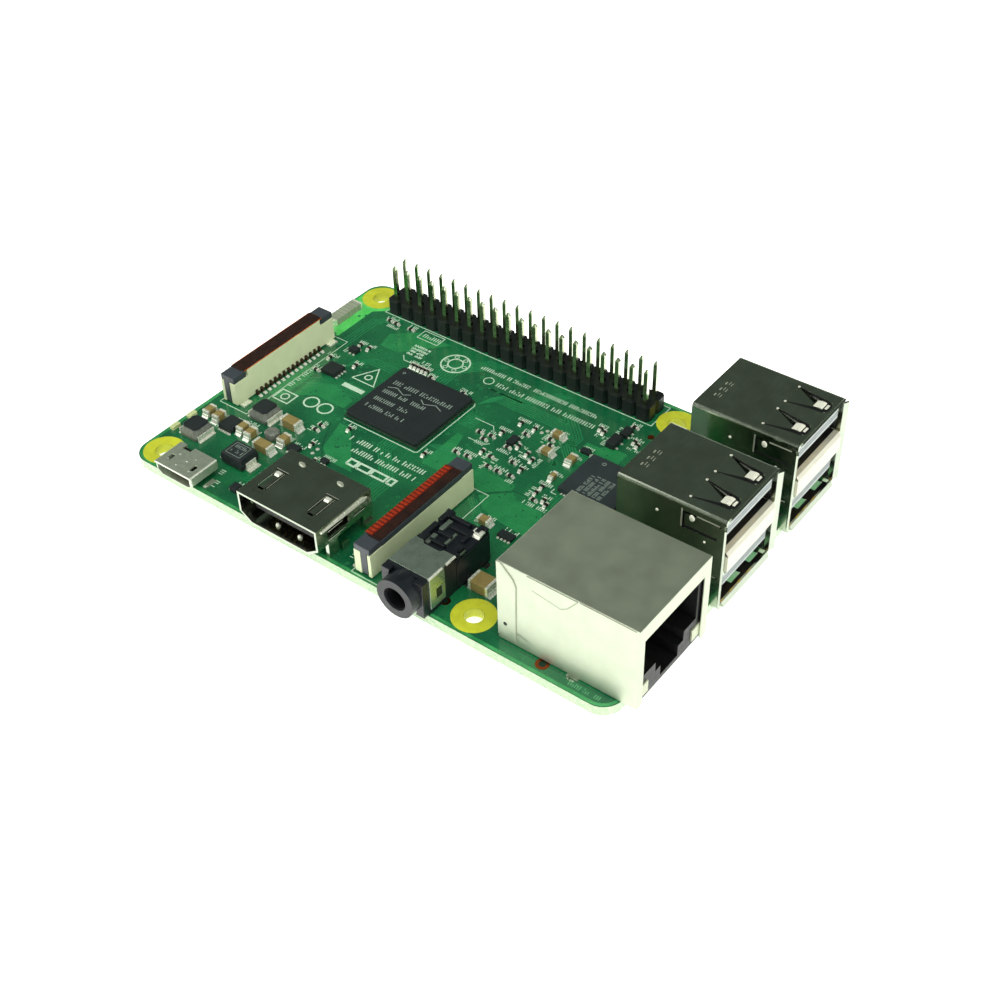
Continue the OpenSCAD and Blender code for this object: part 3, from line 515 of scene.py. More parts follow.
# Plain looks: colour, variation, blot size, roughness, grain size, grain depth, metallic, coat
PLAIN_LOOKS = {
    "bare_pad": ((196, 202, 52), 0.1, 1.5, (0.32, 0.48), 0.2, 0.006),
    "chip_black": ((30, 37, 38), 0.12, 3.0, (0.5, 0.62), 0.06, 0.004),
    "chip_slate": ((42, 50, 53), 0.12, 3.0, (0.45, 0.6), 0.06, 0.004),
    "substrate": ((36, 62, 44), 0.15, 1.0, (0.4, 0.55)),
    "antenna_ceramic": ((146, 154, 130), 0.08, 1.0, (0.35, 0.5)),
    "inductor_ferrite": ((104, 108, 100), 0.22, 0.5, (0.38, 0.55), 0.08, 0.01),
    "capacitor_ceramic": ((136, 121, 74), 0.12, 0.7, (0.3, 0.45)),
    "small_part_ceramic": ((34, 32, 30), 0.2, 0.5, (0.3, 0.5)),
    "fuse_green": ((40, 96, 56),),
    "light_lens": ((196, 206, 150), 0.08, 0.5, (0.12, 0.25)),
    "socket_black": ((14, 15, 16), 0.15, 1.5, (0.4, 0.55)),
    "audio_black": ((22, 26, 31), 0.15, 1.5, (0.28, 0.4), 0.15, 0.006),
    "ivory_plastic": ((210, 220, 180), 0.04, 2.0, (0.4, 0.55), 0.15, 0.003),
    "latch_slate": ((56, 62, 68), 0.12, 1.2, (0.36, 0.5), 0.12, 0.006),
    "header_black": ((15, 19, 20), 0.2, 1.2, (0.28, 0.38), 0.2, 0.001),
    "light_pipe": ((172, 178, 150), 0.06, 0.6, (0.15, 0.3)),
    "tongue_plastic": ((236, 240, 228), 0.04, 1.5, (0.4, 0.55)),
    "printing_ink": ((188, 214, 190), 0.06, 0.8, (0.5, 0.65), 0.1, 0.002),
    "faint_ink": ((84, 150, 104), 0.08, 0.8, (0.5, 0.65), 0.1, 0.002),
    "chip_marking": ((124, 138, 130), 0.1, 0.5, (0.5, 0.7), 0.05, 0.002),
    # A near-white copy of the shell metal: painted highlight on spring tips and dimples
    "tip_painted_highlight": ((238, 238, 222), 0.06, 0.5, (0.25, 0.35), 0.12, 0.004, 0.25),
    # The white tongue's front face in painted shade
    "tongue_painted_shade": ((150, 158, 156), 0.08, 0.8, (0.3, 0.45)),
    "tongue_line": ((96, 106, 112), 0.1, 0.8, (0.4, 0.5)),
    "port_middle": ((206, 204, 188), 0.04, 1.5, (0.3, 0.4), 0.12, 0.004, 0.35),
    "fold_line": ((158, 164, 142), 0.08, 1.0, (0.4, 0.5)),
    "seam_line": ((96, 88, 76), 0.1, 1.0, (0.4, 0.6)),
    # Painted shade in slits, gaps and holes
    "gap_painted_shade": ((10, 12, 12), 0.1, 0.5, (0.5, 0.7)),
    # Painted shade in the board's small holes
    "via_hole_painted_shade": ((8, 40, 24), 0.1, 0.5, (0.4, 0.6)),
    "film_over_wall": ((92, 22, 10), 0.3, 0.5, (0.2, 0.32), 0.1, 0.002, 0.0, 0.4),
    "film_rib": ((150, 44, 14), 0.25, 0.5, (0.2, 0.32), 0.1, 0.002, 0.0, 0.4),
    "film_edge": ((226, 112, 34), 0.1, 1.0, (0.25, 0.4), 0.1, 0.002),
}
# Metal looks: colour, variation, blot size, roughness, metallic, direction of drawing
METAL_LOOKS = {
    "tinned_metal": ((240, 242, 226), 0.1, 0.5, (0.22, 0.34), 0.5),
    "solder": ((240, 242, 230), 0.1, 0.4, (0.18, 0.3), 0.5),
    "crystal_can": ((190, 190, 180),),
    "shell_nickel": ((186, 194, 178), 0.05, 3.0, (0.16, 0.22), 1.0, (1, 0.2, 1)),
    "spring_metal": ((222, 226, 212), 0.06, 1.2, (0.2, 0.28)),
    "gold_contact": ((226, 184, 96), 0.1, 0.8, (0.2, 0.34)),
    "network_steel": ((197, 204, 184), 0.07, 3.2, (0.42, 0.5), 0.86, (1, 0.3, 1)),
    "coil_copper": ((180, 100, 60),),
    "test_pad_tin": ((226, 230, 214), 0.05, 0.8, (0.3, 0.4), 0.5),
    "power_shell": ((196, 206, 186), 0.08, 0.7, (0.3, 0.4), 0.75),
    "contact_tin": ((150, 150, 130), 0.08, 0.7, (0.3, 0.42), 0.7),
    # A lighter copy of the sheet metal: painted highlight on bends, lips, springs and tabs
    "tin_painted_highlight": ((240, 242, 228), 0.04, 0.8, (0.2, 0.3), 0.5),
    "stamped_edge": ((206, 210, 192), 0.05, 0.8, (0.3, 0.4), 0.7),
    # Painted shade on the leads' arches
    "lead_painted_shade": ((72, 60, 44), 0.1, 0.5, (0.3, 0.45), 0.6),
    "bare_copper": ((168, 82, 46), 0.1, 0.6, (0.3, 0.45)),
    "audio_sheet": ((186, 202, 188), 0.06, 1.6, (0.26, 0.34), 0.9),
}
# Solder mask over what lies under it, a painted highlight at the board's edge and the board in painted
# light in the port windows: its darker and lighter green
MASK_LOOKS = {
    "mask_over_track": ((28, 120, 72), (38, 134, 80)),
    "mask_over_pour": ((27, 118, 67), (39, 134, 76)),
    "mask_over_gap": ((13, 70, 46), (18, 82, 52)),
    "mask_over_clear": ((72, 196, 84), (104, 222, 116)),
    # A painted highlight along the board's edge
    "mask_edge_painted_highlight": ((36, 128, 70), (70, 162, 96)),
    # The board seen through the port windows, in painted light
    "mask_painted_light": ((150, 240, 170), (190, 250, 200)),
}
LOOKS = {"board_laminate": board_laminate(), "amber_film": amber_film(), "header_gold": pin_plating_painted_light()}
LOOKS |= {name: plain(name, *look) for name, look in PLAIN_LOOKS.items()}
LOOKS |= {name: metal(name, *look) for name, look in METAL_LOOKS.items()}
LOOKS |= {name: solder_mask(name, *look) for name, look in MASK_LOOKS.items()}

# CAD nodes that look otherwise than their slot
OWN_LOOKS = {
    "test_pads": "test_pad_tin", "power_socket_shell": "power_shell",
    "display_contacts": "contact_tin", "camera_contacts": "contact_tin",
}
# Rounding of the CAD nodes' edges: width, nodes
BEVELS = {
    0.03: ["processor_substrate"],
    0.04: ["small_part_bodies", "camera_contacts", "display_contacts"],
    0.05: ["hub_chip", "audio_socket_springs"],
    0.06: [
        "processor_cap", "small_chips", "power_diode_leads", "large_capacitor_bodies", "small_part_ends",
        "chip_antenna", "inductor_terminals", "header_strip",
    ],
    0.07: [
        "power_socket_shell", "upper_stack_shell", "lower_stack_shell", "camera_housing", "display_housing",
    ],
    0.08: ["status_lights", "camera_latch", "display_latch"],
    0.09: ["large_capacitor_ends", "video_socket_shell"],
    0.1: ["audio_socket_body"],
    0.12: ["inductor_cores"],
    0.14: ["network_shell"],
    0.15: ["power_diode_body"],
}

for part in frame["record"]["subparts"]:
    mesh = nodes[part["node"]].data
    mesh.materials.clear()
    mesh.materials.append(LOOKS[OWN_LOOKS.get(part["node"], part["material_slot"])])
for width, rounded in BEVELS.items():
    for node in rounded:
        soften(nodes[node], width)


# ---- What stands on the board ----

TOP_PARTS = [
    "small_chips", "inductor_cores", "power_diode_body", "large_capacitor_bodies",
    "small_part_bodies", "status_lights", "inductor_terminals", "power_diode_leads",
]
TOP_BLOCKS = [
    "processor_substrate", "hub_chip", "chip_antenna", "power_socket_shell", "video_socket_shell",
    "audio_socket_body", "camera_housing", "display_housing", "camera_contacts", "display_contacts",
    "header_strip", "network_shell", "upper_stack_shell", "lower_stack_shell",
]
taken = [box for node in TOP_PARTS for box in islands(node) if box[1].z > 0]
taken += [area(node) for node in TOP_BLOCKS]

# The screw holes stand in a rectangle of 58 by 49 mm round the origin of the row frame
centre = local((0, 0, 0))
SCREW_SITES = [(centre.x + i * 29, centre.y + j * 24.5) for i in (-1, 1) for j in (-1, 1)]


def is_free(low, high, margin=0.12, edge=0.5):
    """Whether a rectangle on the board's top is clear of parts, screw pads and edges."""
    if low[0] < edge or low[1] < edge or high[0] > BOARD_L - edge or high[1] > BOARD_W - edge:
        return False
    for x, y in SCREW_SITES:
        dx = max(low[0] - x, 0, x - high[0])
        dy = max(low[1] - y, 0, y - high[1])
        if math.hypot(dx, dy) < PAD_R + margin:
            return False
    return all(
        low[0] > b.x + margin or high[0] < a.x - margin or low[1] > b.y + margin or high[1] < a.y - margin
        for a, b in taken
    )


# ---- Board: pads, copper, holes ----


def screw_pads():
    """The bare plated rings round the screw holes, and the plating through the board."""
    shape = Shape()
    plate = 0.03
    for site in SCREW_SITES:
        shape.washer(site, HOLE_R, PAD_R, -SINK, plate)
        shape.washer(site, HOLE_R, PAD_R, -BOARD_T - plate, SINK - BOARD_T)
        shape.washer(site, HOLE_R - 0.03, HOLE_R + 0.02, -BOARD_T - plate, plate)
    piece("screw_pads", shape, "bare_pad")


def antenna_window():
    """The bright corner by the antenna, where no copper lies under the mask, open round its screw hole."""
    clear = Marks(thick=0.008)
    x, y = SCREW_SITES[1]

    def arc(start, end, steps=8):
        angles = [math.radians(start + (end - start) * k / steps) for k in range(steps + 1)]
        return [(x + 2.2 * math.cos(a), y + 2.2 * math.sin(a)) for a in angles]

    clear.plate([(0.3, 51.8), (0.3, 40.2), (4.9, 40.2), (4.9, 48.6), (6.4, 49.9)] + arc(-45, -180))
    clear.plate([(6.4, 49.9), (7.0, 50.4), (7.0, 55.3), (3.6, 55.4)] + arc(90, -45))
    clear.plate([(3.6, 55.4), (2.8, 55.3), (0.9, 53.6), (0.3, 51.8)] + arc(180, 90))
    piece("antenna_window", clear, "mask_over_clear")


def board_rim():
    """A painted highlight along the board's edge, above and below: a lighter line of mask."""
    bend = [(math.sin(a), math.cos(a)) for a in (math.pi / 2 * k / 6 for k in range(7))]
    corners = ((BOARD_L, BOARD_W, 1, 1), (BOARD_L, 0, 1, -1), (0, 0, -1, -1), (0, BOARD_W, -1, 1))
    outer, inner = [], []
    for loop, inset in ((outer, 0.14), (inner, 0.62)):
        reach = BOARD_CORNER - inset
        for x, y, sx, sy in corners:
            loop += [
                (x - sx * BOARD_CORNER + sx * reach * a, y - sy * BOARD_CORNER + sy * reach * b)
                for a, b in (bend if sx * sy > 0 else bend[::-1])
            ]
    rim = Shape()
    for low, high in ((-SINK, MASK_T), (-BOARD_T - MASK_T, SINK - BOARD_T)):
        section = ((outer, low), (outer, high), (inner, high), (inner, low))
        rim.hoop([[(*p, z) for p in loop] for loop, z in section])
    piece("board_rim", rim, "mask_edge_painted_highlight")


def copper_pours():
    """Copper areas under the mask, and the bare lines between two of them."""
    pours = Marks(thick=0.01)
    for outline in (
        [(43.6, 27.4), (50.6, 27.4), (50.6, 26.0), (46.9, 22.9), (43.6, 25.6)],
        [(47.3, 22.6), (51.2, 26.0), (52.4, 24.8), (56.8, 24.8), (57.6, 23.8), (57.6, 19.4), (53, 19.8),
         (49.6, 20.6)],
        [(53.2, 39.6), (59.6, 39.6), (59.6, 42.2), (56.4, 42.2), (55.4, 41.2), (53.2, 41.2)],
        [(20.4, 23.4), (22.6, 23.4), (29.4, 15.8), (24.8, 15.8), (22.2, 17.6)],
        [(5.6, 22.6), (8.2, 22.6), (8.8, 24.2), (8.8, 30.2), (7.2, 31.6), (5.6, 31.6)],
        [(36.2, 23.4), (40.8, 23.4), (40.8, 27.4), (38.6, 27.4), (37.4, 31.8), (36.2, 31.8)],
        [(12.2, 42.2), (15.8, 42.2), (21.6, 48.6), (15.2, 48.6), (11.4, 45.4)],
        [(62.6, 39.4), (69.8, 39.4), (69.8, 54.8), (65.8, 54.8), (65.8, 48.8), (62.6, 45.6)],
        [(9.6, 24.2), (12.6, 26.4), (18.4, 26.4), (18.4, 28.6), (13.8, 30.2), (9.6, 28.6)],
    ):
        pours.plate(outline)
    piece("copper_pours", pours, "mask_over_pour")
    gaps = Marks(thick=MASK_T)
    for path in (
        [(46.9, 22.4), (51.2, 26.2), (57.6, 26.2)], [(30.4, 40.4), (33.2, 42.8), (39.2, 42.8)],
        [(19.2, 22.8), (21.6, 18.2), (24.4, 14.9)], [(66.2, 2.0), (83.6, 2.0)],
    ):
        gaps.line(path, 0.14)
    piece("copper_gaps", gaps, "mask_over_gap")


def copper_tracks():
    """Bundles of parallel tracks."""
    # The first track's path, how many there are, and the step from one to the next
    bundles = [
        ([(34.4, 39.2), (36.2, 41.2), (47.4, 41.2), (52.4, 36.4), (55.6, 36.4)], 6, (0.12, 0.42)),
        ([(34.6, 36.6), (37.4, 36.6)], 7, (0, -0.45)),
        ([(24.2, 39.6), (24.2, 43.6), (29.6, 49.2)], 7, (0.5, 0.0)),
        ([(33.2, 43.2), (38.4, 43.2), (43.2, 48.6)], 5, (0.5, 0.0)),
        ([(46.2, 44.8), (50.6, 40.6), (50.6, 38.4)], 5, (0.4, 0.2)),
        ([(18.6, 37.4), (14.2, 37.4), (11.4, 34.6)], 4, (0, 0.5)),
        ([(18.8, 29.4), (12.4, 29.4), (6.8, 24.6)], 6, (-0.1, 0.45)),
        ([(28.4, 24.4), (28.4, 22.8), (33.4, 17.4), (33.4, 11.4)], 6, (0.5, 0.0)),
        ([(34.4, 27.2), (38.2, 27.2), (42.2, 22.8), (42.2, 20.6)], 4, (0.4, 0.3)),
        ([(56.6, 29.4), (56.6, 26.4), (60.4, 22.8), (66.2, 22.8)], 5, (0.5, 0.2)),
        ([(64.9, 32.6), (68.2, 32.6), (70.4, 30.6)], 3, (0, 0.5)),
        ([(64.9, 36.4), (67.4, 38.9), (67.4, 44.2), (70.4, 47.2)], 3, (0.5, 0.0)),
        ([(49.6, 14.2), (49.6, 18.8), (46.4, 21.4)], 4, (0.4, 0.1)),
        ([(17.2, 5.4), (19.8, 8.2), (19.8, 13.0)], 3, (0.5, 0.0)),
        ([(6.4, 38.4), (6.4, 46.8), (9.4, 49.6)], 4, (0.5, 0.0)),
    ]
    tracks = Marks(thick=0.016)
    for path, count, (dx, dy) in bundles:
        for i in range(count):
            tracks.line([(x + dx * i, y + dy * i) for x, y in path], 0.19)
    piece("copper_tracks", tracks, "mask_over_track")


def vias():
    """Small plated holes, crowded round the two large chips."""
    crowded = [area("processor_substrate"), area("hub_chip")]
    grid, spread, edge, half = 0.4, 7, 1, 0.2
    # Now and then a spot that is taken counts as well, so the search ends on a full board
    spots, missed = [], 0
    while len(spots) + missed < 330:
        if chance.random() < 0.6:
            low, high = crowded[chance.randrange(2)]
            x = chance.uniform(low.x - spread, high.x + spread)
            y = chance.uniform(low.y - spread, high.y + spread)
        else:
            x = chance.uniform(edge, BOARD_L - edge)
            y = chance.uniform(edge, BOARD_W - edge)
        x, y = round(x / grid) * grid, round(y / grid) * grid
        if (x, y) not in spots and is_free((x - half, y - half), (x + half, y + half)):
            spots.append((x, y))
        elif chance.random() < 0.02:
            missed += 1
    rings, holes = Marks(thick=0.02), Marks(thick=GAP_T)
    for site in spots:
        rings.ring(site, 0.12, 0.27, 12)
        # A dark dot in each via: painted shade of its hole
        holes.dot(site, 0.13, 10)
    piece("via_rings", rings, "mask_over_track")
    piece("via_holes", holes, "via_hole_painted_shade")


def copper_marks():
    """A bare copper dot and two ringed holes."""
    marks, holes = Marks(thick=0.02), Marks(thick=GAP_T)
    marks.dot((60.1, 47.6), 0.55)
    marks.lay_on(0.0, 0.03)
    for site, inner, outer in (((73.6, 1.9), 0.5, 0.95), ((56.8, 3.4), 0.35, 0.75)):
        marks.ring(site, inner, outer)
        # A dark dot in each ring: painted shade of its hole
        holes.dot(site, inner)
    piece("copper_marks", marks, "bare_copper")
    piece("copper_mark_holes", holes, "via_hole_painted_shade")


# ---- Printing: outlines and strokes that stand for lettering ----


def mark_beside(marks, low, high, count, size, gap, used):
    """Lays a short row of strokes on the first free side of a part, and tells whether there was one."""
    mid = (low + high) / 2
    length = count * size * 0.78
    sides = [
        (False, mid.x - length / 2, high.y + gap), (True, low.x - gap, mid.y - length / 2),
        (False, mid.x - length / 2, low.y - gap - size), (True, high.x + gap + size, mid.y - length / 2),
    ]
    for upright, x, y in sides:
        a = (x - size, y) if upright else (x, y)
        b = (x, y + length) if upright else (x + length, y + size)
        clear = all(a[0] > d[0] or b[0] < c[0] or a[1] > d[1] or b[1] < c[1] for c, d in used)
        if clear and is_free(a, b, 0.04):
            marks.strokes(x, y, count, size, upright, 0.12)
            used.append((a, b))
            return True
    return False


def outlines(marks):
    """Lines round the header, the chips and the cable connectors."""
    low, high = area("header_strip")
    marks.frame((low.x - 0.35, low.y - 0.25), (high.x + 0.75, min(high.y + 0.25, BOARD_W - 0.4)))
    low, high = area("processor_substrate")
    x, y, corner = high.x + 0.3, low.y - 0.3, 0.35
    path = [(low.x + 0.1, y), (x - corner, y), (x, y + corner), (x, high.y - 0.5), (high.x, high.y)]
    marks.line(path, 0.17)
    low, high = area("hub_chip")
    for sx, dx in ((low.x, 0.9), (high.x, -0.9)):
        for sy, dy in ((low.y, 0.9), (high.y, -0.9)):
            x, y = sx - dx * 0.75, sy - dy * 0.75
            marks.line([(x + dx, y), (x, y), (x, y + dy)], 0.13)
    for node in ("camera_housing", "display_housing"):
        low, high = area(node)
        corner = (max(low.x - 0.5, 0.45), max(low.y - 0.5, 0.4))
        marks.frame(corner, (high.x + 2.2, high.y + 0.5), 0.13)


def printing():
    marks, faint = Marks(), Marks()
    outlines(marks)
    # A box with a line of strokes beside the header, and a plain ring mark
    marks.frame((15.6, 47.3), (19.7, 49.4), 0.14)
    marks.strokes(16.2, 47.9, 5, 0.95)
    x, y = 25.2, 45.2
    marks.ring((x, y), 2.2, 2.45, 40)
    marks.ring((x, y), 1.1, 1.32, 32)
    for k in range(6):
        a = math.pi / 3 * k
        marks.ring((x + 1.75 * math.cos(a), y + 1.75 * math.sin(a)), 0.28, 0.4, 16)
    # Lines along the header
    marks.strokes(29.2, 46.5, 33, 0.85)
    marks.ring((32.2, 44.7), 0.75, 0.9)
    marks.strokes(33.8, 44.2, 27, 0.95)
    for row in range(4):
        marks.strokes(16.8, 42.9 + row * 0.75, 8, 0.5)
    marks.line([(17, 42.3), (17.9, 41.3), (19.6, 41.3)], 0.14)
    # A triangle, a bar, a square and two rings left of the processor
    marks.line([(14.2, 33.1), (18.6, 33.1), (16.4, 37.1), (14.2, 33.1)], 0.2)
    marks.ring((16.4, 34.5), 0.45, 0.68, 20)
    marks.plate(rectangle((14.2, 30.6), (18.4, 31.5)))
    marks.frame((7.6, 22.2), (10.6, 24.6), 0.24)
    marks.ring((9.1, 23.4), 0.55, 0.78)
    for x in (13.4, 16.2):
        marks.ring((x, 24.7), 1.05, 1.33, 28)
    # Rows between the processor and the video socket
    marks.strokes(24.1, 21.3, 19, 1.0, width=0.16)
    marks.strokes(26.1, 19.4, 15, 1.0, width=0.16)
    for x, length in ((27.4, 1.5), (29.3, 2.2), (31.9, 2.6), (35.0, 1.0)):
        marks.frame((x, 16.9), (x + length, 18.1), 0.36)
    # Upright lines beside the connectors and the power socket
    marks.strokes(8.1, 25.8, 8, 0.95, True)
    marks.strokes(15.6, 1.4, 3, 0.85, True)
    marks.strokes(14.6, 4.4, 2, 0.85, True)
    faint.strokes(78.0, 1.0, 9, 0.7)
    marks.strokes(41.6, 2.4, 6, 0.6, True)
    piece("faint_printing", faint, "faint_ink")
    marks.line([(36.2, 36.2), (39.6, 36.2), (40.3, 35.4)], 0.12)
    marks.line([(38.2, 31.9), (41.0, 31.9), (41.7, 32.6)], 0.12)
    part_names(marks)
    piece("board_printing", marks, "printing_ink")


def part_names(marks):
    """A short row of strokes beside each part on the top that has room for one."""
    used = []
    for node in ("small_part_bodies", "large_capacitor_bodies", "small_chips"):
        for low, high in islands(node):
            if high.z < 0:
                continue
            count = 3 + chance.randrange(2)
            for size, gap in ((0.72, 0.3), (0.6, 0.25), (0.72, 1.1), (0.55, 0.7)):
                if mark_beside(marks, low, high, count, size, gap, used):
                    break


def underside_printing():
    """Outlines round the parts under the board, rows of plain bars, and a ring."""
    marks = Marks()
    marks.turn = Matrix.Translation((0, 0, -BOARD_T)) @ Matrix.Scale(-1, 4, (0, 0, 1))

    def around(low, high, x, y, width):
        marks.frame((low.x - x, low.y - y), (high.x + x, high.y + y), width)

    for node, margin in (("memory_substrate", 0.5), ("wireless_chip", 0.4), ("resettable_fuse", 0.4)):
        around(*area(node), margin, margin, 0.15)
    low, high = area("card_slot_shell")
    marks.frame((0.5, low.y - 0.5), (high.x + 0.5, high.y + 0.5))
    for low, high in islands("clock_crystals"):
        around(low, high, 0.4, 0.4, 0.13)
    around(*area("header_strip"), 0.4, 0.2, 0.14)
    rows = ((18.0, 42.2, 12), (30.0, 42.2, 16), (40.5, 22.6, 14), (18.0, 18.5, 18), (46.5, 30.4, 8))
    for x, y, count in rows:
        marks.strokes(x, y, count, 0.9)
    marks.ring((33, 12), 2.6, 2.85, 40)
    marks.ring((33, 12), 1.5, 1.7, 32)
    piece("underside_printing", marks, "printing_ink")


def chip_markings():
    """Rows of strokes and plain signs on the processor, the hub chip and the power diode."""
    marks = Marks()
    thick = 0.012
    low, high = area("processor_cap")
    marks.lay_on(high.z, thick)
    x = low.x + 1.4
    for y, count, size in ((34.4, 15, 0.95), (31.9, 13, 0.85), (29.8, 10, 0.85), (27.8, 11, 0.85)):
        marks.strokes(x, y, count, size, width=0.16)
    marks.line([(x, 33.3), (x + 1.4, 33.9), (x + 3.2, 33.1), (x + 4.2, 33.8)], 0.16)
    marks.line([(x + 6.2, 33.8), (x + 7.2, 33.1), (x + 9.0, 33.9), (x + 10.4, 33.3)], 0.16)
    marks.ring((low.x + 1.15, high.y - 1.3), 0.14, 0.26, 16)
    low, high = area("hub_chip")
    marks.lay_on(high.z, thick)
    for i in range(5):
        marks.strokes(low.x + 3.1 + i * 0.85, low.y + 1.0, 9, 0.62, True, 0.12)
    marks.ring((low.x + 2.6, high.y - 1.1), 0.2, 0.34, 16)
    low, high = area("power_diode_body")
    marks.lay_on(high.z, thick)
    marks.frame((low.x + 0.7, low.y + 0.6), (high.x - 0.8, high.y - 0.6), 0.1)
    for y in (1.1, 2.1):
        marks.strokes(low.x + 1.1, low.y + y, 4, 0.7, width=0.12)
    piece("chip_markings", marks, "chip_marking")


# ---- Solder ----

FILLET = [(0, 0), (0.3, 0), (0.19, 0.06), (0.1, 0.17), (0.05, 0.33), (0.0, 0.36)]
# The cable connectors' contacts, and the way their feet point along X
CABLE_CONTACTS = {"camera_contacts": -1, "display_contacts": 1}


def end_fillets():
    """A small solder slope at each end cap of the two-ended parts, on either side of the board."""
    shape = Shape()
    for kind in ("small_part", "large_capacitor"):
        middles = [(low + high) / 2 for low, high in islands(kind + "_bodies")]
        for low, high in islands(kind + "_ends"):
            mid = (low + high) / 2
            out = mid - min(middles, key=lambda m: (m - mid).length_squared)
            if abs(out.y) > abs(out.x):
                out, across, reach = Vector((0, out.y, 0)), high.x - low.x, (high.y - low.y) / 2
            else:
                out, across, reach = Vector((out.x, 0, 0)), high.y - low.y, (high.x - low.x) / 2
            out.normalize()
            size = min(1.6, (high.z - low.z) / 0.42 * 0.85)
            foot, up = (-BOARD_T, -1) if high.z < 0 else (0.0, 1)
            profile = [(a * size, b * size * up) for a, b in FILLET]
            place = (mid.x + out.x * (reach - SINK), mid.y + out.y * (reach - SINK), foot)
            shape.bar(profile, place, out, across * 0.96)
    piece("part_solder", shape, "solder", bevel=0.02)


def lead_solder():
    """Solder under the feet of both cable connectors and of the small chips."""
    shape = Shape()
    for node, out in CABLE_CONTACTS.items():
        for low, high in islands(node):
            tip = high.x if out > 0 else low.x
            shape.dome((tip - out * 0.25, (low.y + high.y) / 2, -SINK), 0.42, 0.2, 3, 10, 0.62)
    for low, high in islands("small_chip_leads"):
        mid = (low + high) / 2
        size = max(high.x - low.x, high.y - low.y)
        shape.dome((mid.x, mid.y, -SINK), size * 0.62, 0.13, 3, 8, 0.8)
    piece("lead_solder", shape, "solder", smooth=True)


def pin_solder():
    """Solder cones where pins come out below the board."""
    cones = Shape()
    # From the tip up, as a share of the radius and a height over the board's underside
    profile = ((0.3, -0.9), (0.42, -0.75), (0.62, -0.35), (0.97, -0.03), (1.0, SINK))
    for node in ("header_pins", "upper_stack_contacts", "lower_stack_contacts", "network_pins"):
        for low, high in islands(node):
            if low.z > -BOARD_T:
                continue
            mid = (low + high) / 2
            wide = max(high.x - low.x, high.y - low.y)
            spot, radius = (mid.x, mid.y), 0.95 if wide < 1 else wide * 0.72
            if node.endswith("stack_contacts"):
                # A stack contact's pin is at its rear end
                spot, radius = (low.x + 0.25, (low.y + high.y) / 2), 0.95
            cones.loft([circle(spot, radius * share, z - BOARD_T, 16) for share, z in profile])
    piece("pin_solder", cones, "solder", smooth=True)


# ---- Coils and diode ----


def coils():
    """The coils' cores with a lid and end clips on the tall ones."""
    cores, lids, clips = Shape(), Shape(), Shape()
    clip = [(-0.3, 0.02), (0.34, 0.02), (0.34, 0.16), (0.1, 0.5), (0.02, 0.62), (-0.12, 0.6), (-0.3, 0.2)]
    boxes = islands("inductor_cores")
    for low, high in boxes:
        top = high.z
        if top < 1.6:
            continue
        cores.block(low, high, (
            (0.05, 0.12, 0.35), (top * 0.34, 0.0, 0.35), (top * 0.42, 0.02, 0.4), (top * 0.9, 0.42, 0.45),
        ))
        lids.block(low, high, ((top * 0.88, 0.42, 0.45), (top * 0.96, 0.36, 0.42), (top, 0.42, 0.42)))
        rim = [p[:2] for p in chamfered(low, high, 0.62, 0.3, 0)]
        lids.ribbon(rim + rim[:1], 0.07, top - SINK, top + 0.03)
        for side, x in ((1, high.x), (-1, low.x)):
            clips.bar(clip, (x, (low.y + high.y) / 2, 0), (side, 0), 3.0)
    low, high = next(box for box in boxes if box[1].z < 1.6)
    cores.block(low, high, (
        (low.z, 0.05, 0.5), (0.6, 0.0, 0.5), (high.z - 0.2, 0.05, 0.55), (high.z, 0.22, 0.6),
    ))
    piece("coil_cores", cores, "inductor_ferrite", replaces=["inductor_cores"], bevel=0.05)
    piece("coil_lids", lids, "chip_black", bevel=0.04)
    piece("coil_clips", clips, "tinned_metal", bevel=0.04)


def diode_case():
    shape = Shape()
    low, high = area("power_diode_body")
    seam = (low.z + high.z) * 0.5
    profile = ((low.z, 0.12), (seam, 0.0), (seam + 0.04, 0.0), (high.z - 0.1, 0.16), (high.z, 0.26))
    shape.block(low, high, [(z, inset, 0.12) for z, inset in profile])
    piece("diode_case", shape, "chip_black", replaces=["power_diode_body"], bevel=0.05)


# ---- Plug stacks ----

# Their pieces: look, slot, rounding
STACK_PIECES = {
    # Dimples in painted highlight
    "dimples": ("tip_painted_highlight", "shell_nickel", 0.0),
    # Slits and holes as dark films of painted shade
    "slits": ("gap_painted_shade", "shell_nickel", 0.0),
    # Spring finger tips in painted highlight
    "finger_tips": ("tip_painted_highlight", "shell_nickel", 0.05),
    # Dark linings inside the ports: painted shade on the shell's inner walls and floors
    "painted_shade_linings": ("socket_black", "shell_nickel", 0.03),
    "stamping": ("stamped_edge", "shell_nickel", 0.0),
    # Tongue fronts in painted shade
    "tongue_faces": ("tongue_painted_shade", "tongue_plastic", 0.02),
    "tongue_lines": ("tongue_line", "tongue_plastic", 0.0),
    "contact_bumps": ("gold_contact", "gold_contact", 0.04),
    "middle_walls": ("port_middle", "shell_nickel", 0.12),
    # The board under the port windows, in painted light
    "floor_windows": ("mask_painted_light", "board_laminate", 0.0),
}


def tongue_tops(shell):
    """Heights of the two tongues' upper faces in a stack, from its contacts, which lie under them."""
    heights = [box[1].z for box in islands(shell.replace("shell", "contacts"))]
    return [min(heights) + TONGUE_T, max(heights) + TONGUE_T]


